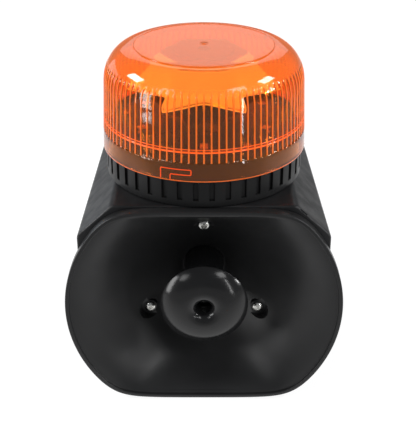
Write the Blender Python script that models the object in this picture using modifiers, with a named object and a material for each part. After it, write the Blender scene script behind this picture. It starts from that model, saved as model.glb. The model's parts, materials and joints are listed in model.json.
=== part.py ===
"""Alarm siren: a horn sounder in a chamfered housing with an amber beacon on its top plate.

Frame: metres, +Z up, the horn mouth faces -Y.  The origin is on the flat underside, below the
beacon's axis.  "Height" on a horn piece is its distance along -Y, because the horn looks forward.
"""
import math

import bmesh
import bpy
from mathutils import Matrix, Vector

MM = 0.001
CLEARANCE = 0.3 * MM          # gap between two pieces that touch
FIT = 0.3 * MM                # radial gap of a piece that slides into another

# ---- overall sizes -------------------------------------------------------------------------
HORN_RADIUS = 90.0 * MM       # round ends of the horn's rim
HORN_HALF_HEIGHT = 71.0 * MM  # flat top and bottom of the rim, from the horn's axis
MOUTH_Y = -70.3 * MM          # front of the rim
HOUSING_FRONT_Y = -62.5 * MM
HOUSING_REAR_Y = 77.0 * MM

# ---- housing -------------------------------------------------------------------------------
HORN_OVERHANG = 9.4 * MM      # how far the horn's round ends stand out past the housing
HOUSING_HALF_WIDTH = HORN_RADIUS - HORN_OVERHANG
HOUSING_HEIGHT = 142.5 * MM
TOP_HALF_WIDTH = HOUSING_HALF_WIDTH - 22.6 * MM
BOTTOM_HALF_WIDTH = HOUSING_HALF_WIDTH - 30.6 * MM
TOP_CHAMFER_DROP = 21.0 * MM
BOTTOM_CHAMFER_RISE = 40.0 * MM
HOUSING_WALL = 2.5 * MM
HOUSING_EDGE_RADIUS = 2.5 * MM
REAR_TAPER = 0.945            # rear width over front width, the mould's draft
BULKHEAD_Y = -8.0 * MM
BULKHEAD_THICKNESS = 3.5 * MM
NOTCH_SIZE = (6.0 * MM, 1.6 * MM, 2.4 * MM)
FOOT_BOSS_RADIUS = 8.0 * MM
FOOT_BOSS_HEIGHT = 12.0 * MM
FOOT_SPREAD = 36.0 * MM
FOOT_Y = 45.0 * MM
INSERT_RADIUS = 4.6 * MM
INSERT_BORE = 2.5 * MM
INSERT_LENGTH = 9.0 * MM

# ---- horn ----------------------------------------------------------------------------------
RIM_WIDTH = 3.4 * MM
RIM_STEP = 2.2 * MM
HORN_WALL = 2.5 * MM
BELL_ROUND_HEIGHT = 35.1 * MM # the bell's half height is this plus a share of its radius
BELL_MOUTH_SHARE = ((HORN_HALF_HEIGHT - RIM_WIDTH - BELL_ROUND_HEIGHT)
                    / (HORN_RADIUS - RIM_WIDTH))
BELL_THROAT = (15.0 * MM, -9.6 * MM)
BELL_THROAT_PULL = (42.0 * MM, -27.5 * MM)
BELL_MOUTH_PULL = (HORN_RADIUS - 24.0 * MM, -63.0 * MM)
RIM_SHARPNESS = 18.0
BELL_SHARPNESS = 12.0
HORN_SEGMENTS = 44
SCREW_CIRCLE = 42.6 * MM
SCREW_SEAT_Y = -32.6 * MM
SPOTFACE_RADIUS = 7.0 * MM
SCREW_POST_RADIUS = 4.6 * MM
SPOTFACE_CUP_RADIUS = 9.0 * MM

# ---- horn's middle -------------------------------------------------------------------------
THROAT_RADIUS = 11.5 * MM
THROAT_WALL = 2.0 * MM
THROAT_FRONT_Y = -52.0 * MM
THROAT_FLANGE_RADIUS = 22.0 * MM
THROAT_FLANGE_THICKNESS = 2.6 * MM
CAP_RADIUS = 28.8 * MM
CAP_RIM_Y = -64.0 * MM
CAP_REAR_Y = -61.6 * MM
CAP_FRONT_Y = -72.0 * MM
CAP_WALL = 2.2 * MM
FUNNEL_LIP_RADIUS = 12.0 * MM # where the funnel's rolled lip meets the dome
FUNNEL_HOLE_RADIUS = 4.9 * MM
FUNNEL_DEPTH = 6.0 * MM
SPIDER_HUB_RADIUS = 6.4 * MM
SPIDER_ARM_WIDTH = 3.0 * MM
SPIDER_DEPTH = 6.0 * MM

# ---- driver --------------------------------------------------------------------------------
DRIVER_RADIUS = 40.0 * MM
DRIVER_FRAME_THICKNESS = 4.0 * MM
DRIVER_FRAME_DEPTH = 11.0 * MM
MAGNET_RADIUS = 36.0 * MM
MAGNET_BORE = 18.0 * MM
MAGNET_THICKNESS = 14.0 * MM
POLE_PLATE_THICKNESS = 4.0 * MM
POLE_RADIUS = 12.4 * MM
COIL_RADIUS = 13.2 * MM
COIL_WALL = 0.6 * MM
COIL_GAP = 0.7 * MM
DIAPHRAGM_RADIUS = 29.0 * MM
DIAPHRAGM_THICKNESS = 0.7 * MM
DIAPHRAGM_DOME = 3.5 * MM

# ---- beacon --------------------------------------------------------------------------------
LENS_FOOT_RADIUS = 66.9 * MM
RING_RADIUS = LENS_FOOT_RADIUS - 2.2 * MM
RING_HEIGHT = 17.6 * MM
RING_SLOTS = 40
RING_SLOT_WIDTH = 3.6 * MM
RING_SLOT_DEPTH = 1.5 * MM
RING_SLOT_HEIGHT = 12.5 * MM
RING_FLOOR = 3.0 * MM
NECK_WALL = 3.0 * MM
NECK_HEIGHT = 16.6 * MM
WIRE_HOLE_RADIUS = 10.0 * MM
LENS_SHOULDER_RADIUS = LENS_FOOT_RADIUS - 1.9 * MM
LENS_SKIRT_WALL = 2.8 * MM
LENS_WALL = 2.6 * MM
LENS_SHOULDER_HEIGHT = 42.0 * MM
LENS_HEIGHT = 66.4 * MM
LENS_TOP_RADIUS = LENS_FOOT_RADIUS - 20.9 * MM
LENS_TOP_STEP = 0.7 * MM
LENS_SHELF_HEIGHT = 19.0 * MM
LENS_ROUNDING = 2.15
LENS_SEGMENTS = 44
SEAL_WIDTH = 2.4 * MM
LUG_COUNT = 3
SLOT_ENTRY_ANGLE = -24.0      # degrees round from the front, + toward +X
SLOT_END_ANGLE = -6.9
SLOT_ENTRY_WIDTH = 5.5
SLOT_DEPTH = 0.9 * MM
SLOT_LOW = 3.9 * MM           # above the lens's foot
SLOT_HIGH = 7.4 * MM
LUG_PLAY = 0.4                # degrees between a lug and its slot, at each end
LUG_HEIGHT = 2.6 * MM
BOARD_THICKNESS = 1.6 * MM
LED_BOARD_RADIUS = LENS_FOOT_RADIUS - 9.9 * MM
LED_POST_CIRCLE = 52.0 * MM
LED_POST_RADIUS = 4.0 * MM
LED_CIRCLE = 46.0 * MM
LED_SIZE = (5.0 * MM, 5.0 * MM, 1.8 * MM)
LOBES = 6
REFLECTOR_CUSP = 50.0 * MM
REFLECTOR_WAIST = 29.0 * MM
REFLECTOR_FOOT_SHARE = 0.46
REFLECTOR_HEIGHT = 20.0 * MM
REFLECTOR_ROOF_HEIGHT = 20.5 * MM
REFLECTOR_WALL = 3.0 * MM
REFLECTOR_LIFT = 1.0 * MM     # how far the hollow's scoops are moved up
REFLECTOR_CROWN = 5.0 * MM    # solid thickness under the plate, for the screw
REFLECTOR_PLATE_RADIUS = 30.0 * MM
REFLECTOR_PLATE_THICKNESS = 1.6 * MM
REFLECTOR_DISC_RADIUS = 19.5 * MM
REFLECTOR_DISC_HEIGHT = 1.8 * MM

# ---- rear cover, electronics, inlet --------------------------------------------------------
COVER_THICKNESS = 3.0 * MM
COVER_SEAL_THICKNESS = 1.2 * MM
COVER_POST_RADIUS = 5.0 * MM
COVER_POST_LENGTH = 22.0 * MM
COVER_POST_SINK = 1.6 * MM    # how far a post sinks into the walls beside it
COVER_POST_RECESS = 0.4 * MM  # how far its end stays below the housing's rear edge
CONTROL_BOARD_SIZE = (84.0 * MM, 62.0 * MM)
CONTROL_BOARD_GAP = 14.0 * MM
CONTROL_BOARD_Z = 84.0 * MM
BOARD_POST_RADIUS = 3.6 * MM
BOARD_POST_INSET = 6.0 * MM
TERMINAL_SIZE = (30.0 * MM, 12.0 * MM, 11.0 * MM)
CAPACITOR_RADIUS = 6.3 * MM
CAPACITOR_LENGTH = 19.0 * MM
TRANSFORMER_SIZE = (24.0 * MM, 18.0 * MM, 20.0 * MM)
GLAND_Z = 32.0 * MM
GLAND_THREAD_RADIUS = 8.0 * MM
GLAND_BORE = 4.0 * MM
GLAND_FLANGE_RADIUS = 12.0 * MM
GLAND_FLANGE_THICKNESS = 4.0 * MM
GLAND_DOME_LENGTH = 13.0 * MM
GLAND_NUT_THICKNESS = 4.5 * MM

# ---- fasteners -----------------------------------------------------------------------------
HEAD_RADIUS = 3.5 * MM
HEAD_HEIGHT = 2.3 * MM
SHANK_RADIUS = 1.9 * MM
SMALL_HEAD_RADIUS = 2.8 * MM
SMALL_HEAD_HEIGHT = 1.8 * MM
SMALL_SHANK_RADIUS = 1.4 * MM
PILOT_GAP = 0.25 * MM

# ---- places worked out from the sizes ------------------------------------------------------
AXIS_Z = HORN_HALF_HEIGHT
RING_BOTTOM_Z = HOUSING_HEIGHT + CLEARANCE
RING_TOP_Z = RING_BOTTOM_Z + RING_HEIGHT
LENS_FOOT_Z = RING_TOP_Z + CLEARANCE
LENS_SKIRT_INNER = LENS_FOOT_RADIUS - LENS_SKIRT_WALL
NECK_RADIUS = LENS_SKIRT_INNER - FIT
NECK_TOP_Z = RING_TOP_Z + NECK_HEIGHT
SHELF_Z = LENS_FOOT_Z + LENS_SHELF_HEIGHT
LED_BOARD_Z = NECK_TOP_Z - BOARD_THICKNESS
REFLECTOR_Z = NECK_TOP_Z + CLEARANCE
REFLECTOR_EDGE_Z = REFLECTOR_Z + REFLECTOR_HEIGHT
REFLECTOR_TOP_Z = REFLECTOR_EDGE_Z + REFLECTOR_ROOF_HEIGHT
BULKHEAD_REAR_Y = BULKHEAD_Y + BULKHEAD_THICKNESS
HORN_REAR_Y = BULKHEAD_Y - CLEARANCE
RIM_REAR_Y = HOUSING_FRONT_Y - CLEARANCE
THROAT_OUTER = THROAT_RADIUS + THROAT_WALL
FLANGE_REAR_Y = BULKHEAD_REAR_Y + CLEARANCE + THROAT_FLANGE_THICKNESS
DRIVER_Y = FLANGE_REAR_Y + CLEARANCE
COVER_SEAL_Y = HOUSING_REAR_Y + CLEARANCE
COVER_Y = COVER_SEAL_Y + COVER_SEAL_THICKNESS + CLEARANCE
COVER_REAR_Y = COVER_Y + COVER_THICKNESS
CONTROL_BOARD_Y = COVER_Y - CONTROL_BOARD_GAP
TO_FRONT = Matrix.Rotation(math.pi / 2, 4, "X")    # a piece's own +Z turned to face -Y
TO_REAR = Matrix.Rotation(-math.pi / 2, 4, "X")


# ---- scene, materials, objects -------------------------------------------------------------
for old in list(bpy.data.objects):
    bpy.data.objects.remove(old, do_unlink=True)

parts = bpy.data.collections.new("alarm_siren")
cutters = bpy.data.collections.new("cutters")
bpy.context.scene.collection.children.link(parts)
bpy.context.scene.collection.children.link(cutters)


def make_material(name, colour, roughness, metallic=0.0):
    """A Principled material of one colour."""
    material = bpy.data.materials.new(name)
    material.use_nodes = True
    shader = material.node_tree.nodes["Principled BSDF"]
    shader.inputs["Base Color"].default_value = (*colour, 1.0)
    shader.inputs["Roughness"].default_value = roughness
    shader.inputs["Metallic"].default_value = metallic
    return material


BLACK_PLASTIC = (0.018, 0.019, 0.021)
AMBER = (0.95, 0.24, 0.02)
STEEL = (0.72, 0.72, 0.70)
BRASS = (0.75, 0.56, 0.26)
RUBBER = (0.03, 0.03, 0.03)
BOARD_GREEN = (0.03, 0.20, 0.07)


def add_object(name, mesh, colour, roughness, metallic=0.0, matrix=None):
    """A part with its own material, placed by its matrix."""
    part = bpy.data.objects.new(name, mesh)
    part.data.materials.clear()
    part.data.materials.append(make_material(name, colour, roughness, metallic))
    part.matrix_world = matrix if matrix is not None else Matrix.Identity(4)
    parts.objects.link(part)
    return part


def add_cutter(name, mesh, matrix=None):
    """A guide shape that other parts are cut or joined with."""
    cutter = bpy.data.objects.new(name, mesh)
    cutter.matrix_world = matrix if matrix is not None else Matrix.Identity(4)
    cutter.hide_render = True
    cutter.display_type = "WIRE"
    cutters.objects.link(cutter)
    return cutter


def combine(part, cutter, operation):
    """A Boolean modifier on a part."""
    change = part.modifiers.new(cutter.name, "BOOLEAN")
    change.operation = operation
    change.solver = "EXACT"
    change.object = cutter


def cut(part, cutter):
    combine(part, cutter, "DIFFERENCE")


def join(part, cutter):
    combine(part, cutter, "UNION")


def smooth(mesh, angle=35.0):
    """Smooth shading, with edges sharper than the angle kept sharp."""
    mesh.shade_smooth()
    mesh.set_sharp_from_angle(angle=math.radians(angle))
    return mesh


# ---- shapes --------------------------------------------------------------------------------
def box_mesh(name, size):
    """A box centred on its origin."""
    shape = bmesh.new()
    bmesh.ops.create_cube(shape, size=1.0)
    bmesh.ops.scale(shape, vec=size, verts=shape.verts)
    mesh = bpy.data.meshes.new(name)
    shape.to_mesh(mesh)
    shape.free()
    return mesh


def rods_mesh(name, rods):
    """Separate cylinders in one mesh: each is (matrix, radius, low, high, segments)."""
    shape = bmesh.new()
    for matrix, radius, low, high, segments in rods:
        middle = Matrix.Translation((0, 0, (low + high) / 2))
        bmesh.ops.create_cone(shape, cap_ends=True, segments=segments, radius1=radius,
                              radius2=radius, depth=high - low, matrix=matrix @ middle)
    mesh = bpy.data.meshes.new(name)
    shape.to_mesh(mesh)
    shape.free()
    return smooth(mesh)


def rod_mesh(name, radius, low, high, segments=32):
    """A cylinder on the Z axis from the low height to the high one."""
    return rods_mesh(name, [(Matrix.Identity(4), radius, low, high, segments)])


def loft_mesh(name, rings, closed=False):
    """Skin over rings of equal point counts; the ends are capped unless the loft closes."""
    shape = bmesh.new()
    rows = [[shape.verts.new(point) for point in ring] for ring in rings]
    pairs = list(zip(rows, rows[1:]))
    if closed:
        pairs.append((rows[-1], rows[0]))
    for lower, upper in pairs:
        for here in range(len(lower)):
            after = (here + 1) % len(lower)
            shape.faces.new((lower[here], lower[after], upper[after], upper[here]))
    if not closed:
        shape.faces.new(rows[0][::-1])
        shape.faces.new(rows[-1])
    bmesh.ops.recalc_face_normals(shape, faces=shape.faces)
    mesh = bpy.data.meshes.new(name)
    shape.to_mesh(mesh)
    shape.free()
    return smooth(mesh)


def add_turned(name, profile, segments, colour, roughness, metallic=0.0, matrix=None,
               closed=True):
    """A turned part: (radius, height) points that run down the outer side, top to bottom."""
    mesh = bpy.data.meshes.new(name)
    edges = [(point, point + 1) for point in range(len(profile) - 1)]
    if closed:
        edges.append((len(profile) - 1, 0))
    mesh.from_pydata([(radius, 0.0, height) for radius, height in profile], edges, [])
    part = add_object(name, mesh, colour, roughness, metallic, matrix)
    turn = part.modifiers.new("turn", "SCREW")
    turn.axis = "Z"
    turn.steps = segments
    turn.render_steps = segments
    turn.use_merge_vertices = True
    turn.merge_threshold = 0.00001
    turn.use_smooth_shade = True
    return part


def sector_mesh(name, inner, outer, first, last, low, high, steps=6):
    """A curved block between two radii, two angles round from the front and two heights."""
    rings = []
    for step in range(steps + 1):
        angle = math.radians(first + (last - first) * step / steps)
        direction = Vector((math.sin(angle), -math.cos(angle), 0))
        rings.append([direction * inner + Vector((0, 0, low)),
                      direction * outer + Vector((0, 0, low)),
                      direction * outer + Vector((0, 0, high)),
                      direction * inner + Vector((0, 0, high))])
    return loft_mesh(name, rings)


def merged_mesh(name, meshes):
    """Several separate shapes in one mesh, for cutting or joining them all at once."""
    shape = bmesh.new()
    for mesh in meshes:
        shape.from_mesh(mesh)
    merged = bpy.data.meshes.new(name)
    shape.to_mesh(merged)
    shape.free()
    return merged


def rounded_outline(corners, radius, steps=2):
    """A closed counter-clockwise outline with each corner replaced by an arc of the radius."""
    points = []
    count = len(corners)
    for index in range(count):
        corner = Vector(corners[index])
        before = (Vector(corners[index - 1]) - corner).normalized()
        after = (Vector(corners[(index + 1) % count]) - corner).normalized()
        half = before.angle(after) / 2
        middle = corner + (before + after).normalized() * radius / math.sin(half)
        start = corner + before * radius / math.tan(half) - middle
        sweep = math.pi - 2 * half
        for step in range(steps + 1):
            turn = sweep * step / steps
            points.append(middle + Vector((start.x * math.cos(turn) - start.y * math.sin(turn),
                                           start.x * math.sin(turn) + start.y * math.cos(turn))))
    return points


def inset_outline(corners, distance):
    """The outline moved inward by the distance; the corners run counter-clockwise."""
    moved = []
    count = len(corners)
    for index in range(count):
        corner = Vector(corners[index])
        before = (corner - Vector(corners[index - 1])).normalized()
        after = (Vector(corners[(index + 1) % count]) - corner).normalized()
        inward = Vector((-before.y, before.x)) + Vector((-after.y, after.x))
        inward = inward.normalized()
        scale = distance / inward.dot(Vector((-before.y, before.x)))
        moved.append(corner + inward * scale)
    return moved


def width_at(y):
    """Width over front width at a depth: the draft narrows the housing toward its rear."""
    share = (y - HOUSING_FRONT_Y) / (HOUSING_REAR_Y - HOUSING_FRONT_Y)
    return 1.0 + (REAR_TAPER - 1.0) * share


def housing_corners():
    """The housing's front outline as (x, z), counter-clockwise seen from the front."""
    right = [(BOTTOM_HALF_WIDTH, 0.0), (HOUSING_HALF_WIDTH, BOTTOM_CHAMFER_RISE),
             (HOUSING_HALF_WIDTH, HOUSING_HEIGHT - TOP_CHAMFER_DROP),
             (TOP_HALF_WIDTH, HOUSING_HEIGHT)]
    left = [(-x, z) for x, z in reversed(right)]
    return right + left


def housing_prism(name, inset, first_y, last_y, radius):
    """The housing's outline, moved inward, swept between two depths with the draft."""
    outline = rounded_outline(inset_outline(housing_corners(), inset), radius)
    rings = [[Vector((point.x * width_at(y), y, point.y)) for point in outline]
             for y in (first_y, last_y)]
    return loft_mesh(name, rings)


def flattened_circle(radius, half_height, sharpness, y):
    """A circle cut flat above and below, with the corners blended by a smooth minimum."""
    ring = []
    for step in range(HORN_SEGMENTS):
        angle = 2 * math.pi * (step + 0.5) / HORN_SEGMENTS
        flat = half_height / max(abs(math.sin(angle)), 0.001)
        reach = (radius ** -sharpness + flat ** -sharpness) ** (-1.0 / sharpness)
        ring.append(Vector((reach * math.cos(angle), y, AXIS_Z + reach * math.sin(angle))))
    return ring


def bell_half_height(radius):
    """The bell is round at its throat and flattens as it opens."""
    return BELL_ROUND_HEIGHT + BELL_MOUTH_SHARE * radius


def bell_curve(steps, offset=0.0):
    """Points of the bell's flare, a cubic curve of (radius, y), moved outward by the offset."""
    start, pull_a, pull_b = BELL_THROAT, BELL_THROAT_PULL, BELL_MOUTH_PULL
    end = (HORN_RADIUS - RIM_WIDTH, MOUTH_Y + RIM_STEP)
    points = []
    for step in range(steps + 1):
        t = step / steps
        weights = ((1 - t) ** 3, 3 * t * (1 - t) ** 2, 3 * t * t * (1 - t), t ** 3)
        slopes = (-(1 - t) ** 2, (1 - t) ** 2 - 2 * t * (1 - t), 2 * t * (1 - t) - t * t, t * t)
        place = [sum(w * p[axis] for w, p in zip(weights, (start, pull_a, pull_b, end)))
                 for axis in (0, 1)]
        slope = Vector([sum(w * p[axis] for w, p in zip(slopes, (start, pull_a, pull_b, end)))
                        for axis in (0, 1)]).normalized()
        points.append((place[0] - slope.y * offset, place[1] + slope.x * offset))
    return points


# ---- fasteners -----------------------------------------------------------------------------
def add_screw(name, matrix, length, head_radius=HEAD_RADIUS, head_height=HEAD_HEIGHT,
              shank_radius=SHANK_RADIUS, segments=12, cross=False):
    """A pan-head screw: its seat is at its origin and its head stands up +Z."""
    profile = [(0.0, head_height), (head_radius * 0.6, head_height * 0.94),
               (head_radius, head_height * 0.35), (head_radius, 0.0), (shank_radius, 0.0),
               (shank_radius, -length), (0.0, -length)]
    screw = add_turned(name, profile, segments, STEEL, 0.25, 1.0, matrix, closed=False)
    if cross:
        arm = (head_radius * 1.1, head_radius * 0.24, head_height * 0.9)
        for turn, label in ((0.0, "a"), (math.pi / 2, "b")):
            slot = add_cutter(f"{name}_cross_{label}", box_mesh(f"{name}_cross_{label}", arm),
                              matrix @ Matrix.Translation((0, 0, head_height))
                              @ Matrix.Rotation(turn, 4, "Z"))
            cut(screw, slot)
    return screw


def round_from_front(radius, degrees, z=0.0):
    """A point round the beacon's axis: 0 degrees at the front, + toward +X."""
    angle = math.radians(degrees)
    return Vector((radius * math.sin(angle), -radius * math.cos(angle), z))


def round_horn_axis(radius, degrees, y):
    """A point round the horn's axis: 0 degrees at +X, 90 degrees at the top."""
    angle = math.radians(degrees)
    return Vector((radius * math.cos(angle), y, AXIS_Z + radius * math.sin(angle)))


HORN_SCREWS = {"top": 90.0, "left": 210.0, "right": 330.0}
DRIVER_SCREW_ANGLES = (30.0, 150.0, 270.0)
DRIVER_SCREW_CIRCLE = 34.0 * MM
BEACON_SCREW_CIRCLE = 44.0 * MM
BEACON_SCREW_ANGLES = (0.0, 120.0, 240.0)
LED_POST_ANGLES = (30.0, 150.0, 270.0)


# ---- housing -------------------------------------------------------------------------------
def make_housing():
    """Moulded body: open rear, a bulkhead across the middle, a horn opening in the front."""
    inner_radius = HOUSING_EDGE_RADIUS * 0.6
    housing = add_object("housing", housing_prism("housing", 0.0, HOUSING_FRONT_Y,
                                                  HOUSING_REAR_Y, HOUSING_EDGE_RADIUS),
                         BLACK_PLASTIC, 0.5)
    front = add_cutter("front_room", housing_prism("front_room", HOUSING_WALL,
                                                   HOUSING_FRONT_Y + HOUSING_WALL, BULKHEAD_Y,
                                                   inner_radius))
    rear = add_cutter("rear_room", housing_prism("rear_room", HOUSING_WALL, BULKHEAD_REAR_Y,
                                                 HOUSING_REAR_Y + HOUSING_WALL, inner_radius))
    cut(housing, front)
    cut(housing, rear)
    opening = HOUSING_HALF_WIDTH - HOUSING_WALL - 1.0 * MM
    rings = [flattened_circle(opening, bell_half_height(opening) + 1.5 * MM, RIM_SHARPNESS, y)
             for y in (HOUSING_FRONT_Y - 5 * MM, HOUSING_FRONT_Y + HOUSING_WALL + 1 * MM)]
    cut(housing, add_cutter("horn_opening", loft_mesh("horn_opening", rings)))
    reach = 12 * MM
    screw_hole = SHANK_RADIUS + PILOT_GAP
    behind = Matrix.Translation((0, BULKHEAD_Y, AXIS_Z)) @ TO_FRONT
    holes = [(behind, THROAT_OUTER + FIT, -reach, reach, 24)]
    for degrees in HORN_SCREWS.values():
        place = Matrix.Translation(round_horn_axis(SCREW_CIRCLE, degrees, BULKHEAD_Y))
        holes.append((place @ TO_FRONT, screw_hole, -reach, reach, 8))
    for degrees in DRIVER_SCREW_ANGLES:
        place = Matrix.Translation(round_horn_axis(DRIVER_SCREW_CIRCLE, degrees, BULKHEAD_Y))
        holes.append((place @ TO_FRONT, SMALL_SHANK_RADIUS + PILOT_GAP, -reach, reach, 8))
    for degrees in BEACON_SCREW_ANGLES:
        place = Matrix.Translation(round_from_front(BEACON_SCREW_CIRCLE, degrees,
                                                    HOUSING_HEIGHT))
        holes.append((place, screw_hole, -reach, reach, 8))
    wires = Matrix.Translation((0, 0, HOUSING_HEIGHT))
    holes.append((wires, WIRE_HOLE_RADIUS, -reach / 2, reach / 2, 24))
    cut(housing, add_cutter("housing_holes", rods_mesh("housing_holes", holes)))
    notch_place = Vector((TOP_HALF_WIDTH + 5 * MM, HOUSING_FRONT_Y, HOUSING_HEIGHT - 4 * MM))
    slope = math.atan2(TOP_CHAMFER_DROP, HOUSING_HALF_WIDTH - TOP_HALF_WIDTH)
    cut(housing, add_cutter("chamfer_notch", box_mesh("chamfer_notch", NOTCH_SIZE),
                            Matrix.Translation(notch_place) @ Matrix.Rotation(slope, 4, "Y")))
    add_posts(housing)
    return housing


def cover_post_places():
    """(x, z) of the four rear posts, tucked into the lower and upper outer corners."""
    inset = HOUSING_WALL + COVER_POST_RADIUS - COVER_POST_SINK
    corners = inset_outline(housing_corners(), inset)
    taper = width_at(HOUSING_REAR_Y)
    return [(corners[index].x * taper, corners[index].y) for index in (0, 7, 2, 5)]


def foot_places():
    """(x, y) of the two threaded inserts in the underside."""
    return [(-FOOT_SPREAD, FOOT_Y), (FOOT_SPREAD, FOOT_Y)]


def add_posts(housing):
    """Cover posts in the rear corners and foot bosses on the floor, each with its hole."""
    posts = []
    holes = []
    for x, z in cover_post_places():
        place = Matrix.Translation((x, HOUSING_REAR_Y, z)) @ TO_FRONT
        posts.append((place, COVER_POST_RADIUS, COVER_POST_RECESS, COVER_POST_LENGTH, 14))
        holes.append((place, SHANK_RADIUS + PILOT_GAP, -1 * MM, 16 * MM, 8))
    for number, (x, y) in enumerate(foot_places(), 1):
        place = Matrix.Translation((x, y, 0))
        posts.append((place, FOOT_BOSS_RADIUS, HOUSING_WALL / 2, FOOT_BOSS_HEIGHT, 16))
        holes.append((place, INSERT_RADIUS + FIT, -1 * MM, INSERT_LENGTH + FIT, 16))
        profile = [(INSERT_BORE, INSERT_LENGTH), (INSERT_RADIUS, INSERT_LENGTH),
                   (INSERT_RADIUS, 0.2 * MM), (INSERT_BORE, 0.2 * MM)]
        add_turned(f"mount_insert_{number}", profile, 16, BRASS, 0.35, 1.0, place)
    join(housing, add_cutter("housing_posts", rods_mesh("housing_posts", posts)))
    cut(housing, add_cutter("post_holes", rods_mesh("post_holes", holes)))


# ---- horn ----------------------------------------------------------------------------------
def make_horn():
    """Flared bell with a flattened rim, three screw posts with spotfaces, and a rear plate."""
    throat_edge = bell_curve(6, HORN_WALL)
    outer = [(radius, y) for radius, y in throat_edge
             if radius < HOUSING_HALF_WIDTH - HOUSING_WALL - 3 * MM and y < HORN_REAR_Y]
    neck = BELL_THROAT[0] + HORN_WALL
    edge = HOUSING_HALF_WIDTH - HOUSING_WALL - 1.6 * MM
    rings = [flattened_circle(neck, bell_half_height(neck), BELL_SHARPNESS, HORN_REAR_Y)]
    rings += [flattened_circle(radius, bell_half_height(radius), BELL_SHARPNESS, y)
              for radius, y in outer]
    rings.append(flattened_circle(edge, bell_half_height(edge), RIM_SHARPNESS,
                                  RIM_REAR_Y + 1.2 * MM))
    rings.append(flattened_circle(edge, bell_half_height(edge), RIM_SHARPNESS, RIM_REAR_Y))
    rings.append(flattened_circle(HORN_RADIUS, HORN_HALF_HEIGHT, RIM_SHARPNESS, RIM_REAR_Y))
    bead = 0.8 * MM
    rings.append(flattened_circle(HORN_RADIUS, HORN_HALF_HEIGHT, RIM_SHARPNESS, MOUTH_Y + bead))
    rings.append(flattened_circle(HORN_RADIUS - bead, HORN_HALF_HEIGHT - bead, RIM_SHARPNESS,
                                  MOUTH_Y))
    horn = add_object("horn", loft_mesh("horn", rings), BLACK_PLASTIC, 0.4)
    seats = {label: Matrix.Translation(round_horn_axis(SCREW_CIRCLE, degrees, SCREW_SEAT_Y))
             @ TO_FRONT for label, degrees in HORN_SCREWS.items()}
    cups = [(seat, SPOTFACE_CUP_RADIUS, -3 * MM, 16 * MM, 24) for seat in seats.values()]
    join(horn, add_cutter("spotface_cups", rods_mesh("spotface_cups", cups)))
    inner = [flattened_circle(radius, bell_half_height(radius), BELL_SHARPNESS, y)
             for radius, y in bell_curve(7)]
    lip = HORN_RADIUS - RIM_WIDTH
    lip_height = HORN_HALF_HEIGHT - RIM_WIDTH
    inner.append(flattened_circle(lip + 0.6 * MM, lip_height + 0.6 * MM, RIM_SHARPNESS,
                                  MOUTH_Y + RIM_STEP - 0.4 * MM))
    inner.append(flattened_circle(lip + 1.2 * MM, lip_height + 1.2 * MM, RIM_SHARPNESS,
                                  MOUTH_Y - 20 * MM))
    cut(horn, add_cutter("bell_air", loft_mesh("bell_air", inner)))
    post_length = HORN_REAR_Y - SCREW_SEAT_Y
    posts = [(seat, SCREW_POST_RADIUS, -post_length, 0.0, 20) for seat in seats.values()]
    join(horn, add_cutter("horn_posts", rods_mesh("horn_posts", posts)))
    faces = [(seat, SPOTFACE_RADIUS, 0.0, 16 * MM, 24) for seat in seats.values()]
    cut(horn, add_cutter("spotfaces", rods_mesh("spotfaces", faces)))
    holes = [(seat, SHANK_RADIUS + PILOT_GAP, -40 * MM, 2 * MM, 12) for seat in seats.values()]
    behind = Matrix.Translation((0, BULKHEAD_Y, AXIS_Z)) @ TO_FRONT
    holes.append((behind, THROAT_OUTER + FIT, -12 * MM, 12 * MM, 24))
    cut(horn, add_cutter("horn_holes", rods_mesh("horn_holes", holes)))
    for label, seat in seats.items():
        add_screw(f"horn_screw_{label}", Matrix.Translation((0, -CLEARANCE, 0)) @ seat,
                  post_length + BULKHEAD_THICKNESS + 3 * MM, cross=True)
    return horn


def make_throat_tube():
    """Inner tube from the driver, with a rear flange and a three-armed spider at its front."""
    front = -THROAT_FRONT_Y
    flange_front = -(BULKHEAD_REAR_Y + CLEARANCE)
    flange_rear = -FLANGE_REAR_Y
    profile = [(THROAT_RADIUS, front), (THROAT_OUTER, front), (THROAT_OUTER, flange_front),
               (THROAT_FLANGE_RADIUS, flange_front), (THROAT_FLANGE_RADIUS, flange_rear),
               (THROAT_RADIUS, flange_rear)]
    place = Matrix.Translation((0, 0, AXIS_Z)) @ TO_FRONT
    tube = add_turned("throat_tube", profile, 20, BLACK_PLASTIC, 0.45, matrix=place)
    hub = rod_mesh("spider_hub", SPIDER_HUB_RADIUS, front - SPIDER_DEPTH, front - FIT, 20)
    join(tube, add_cutter("spider_hub", hub, place))
    for number in range(3):
        arm = box_mesh(f"spider_arm_{number}", (THROAT_RADIUS, SPIDER_ARM_WIDTH,
                                                SPIDER_DEPTH * 0.8))
        spin = Matrix.Rotation(math.radians(90 + 120 * number), 4, "Z")
        reach = Matrix.Translation((THROAT_RADIUS * 0.6, 0, front - SPIDER_DEPTH * 0.55))
        join(tube, add_cutter(f"spider_arm_{number}", arm, place @ spin @ reach))
    hole = rod_mesh("spider_hole", SHANK_RADIUS + PILOT_GAP, front - 20 * MM, front + 5 * MM, 12)
    cut(tube, add_cutter("spider_hole", hole, place))
    return tube


def dome_arc(start, end, top, bottom, steps):
    """Points of a circular arc, level at (start, top), that falls to (end, bottom)."""
    sweep = 2 * math.atan2(top - bottom, end - start)
    points = []
    for step in range(steps + 1):
        angle = sweep * step / steps
        points.append((start + (end - start) * math.sin(angle) / math.sin(sweep),
                       top - (top - bottom) * (1 - math.cos(angle)) / (1 - math.cos(sweep))))
    return points


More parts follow.
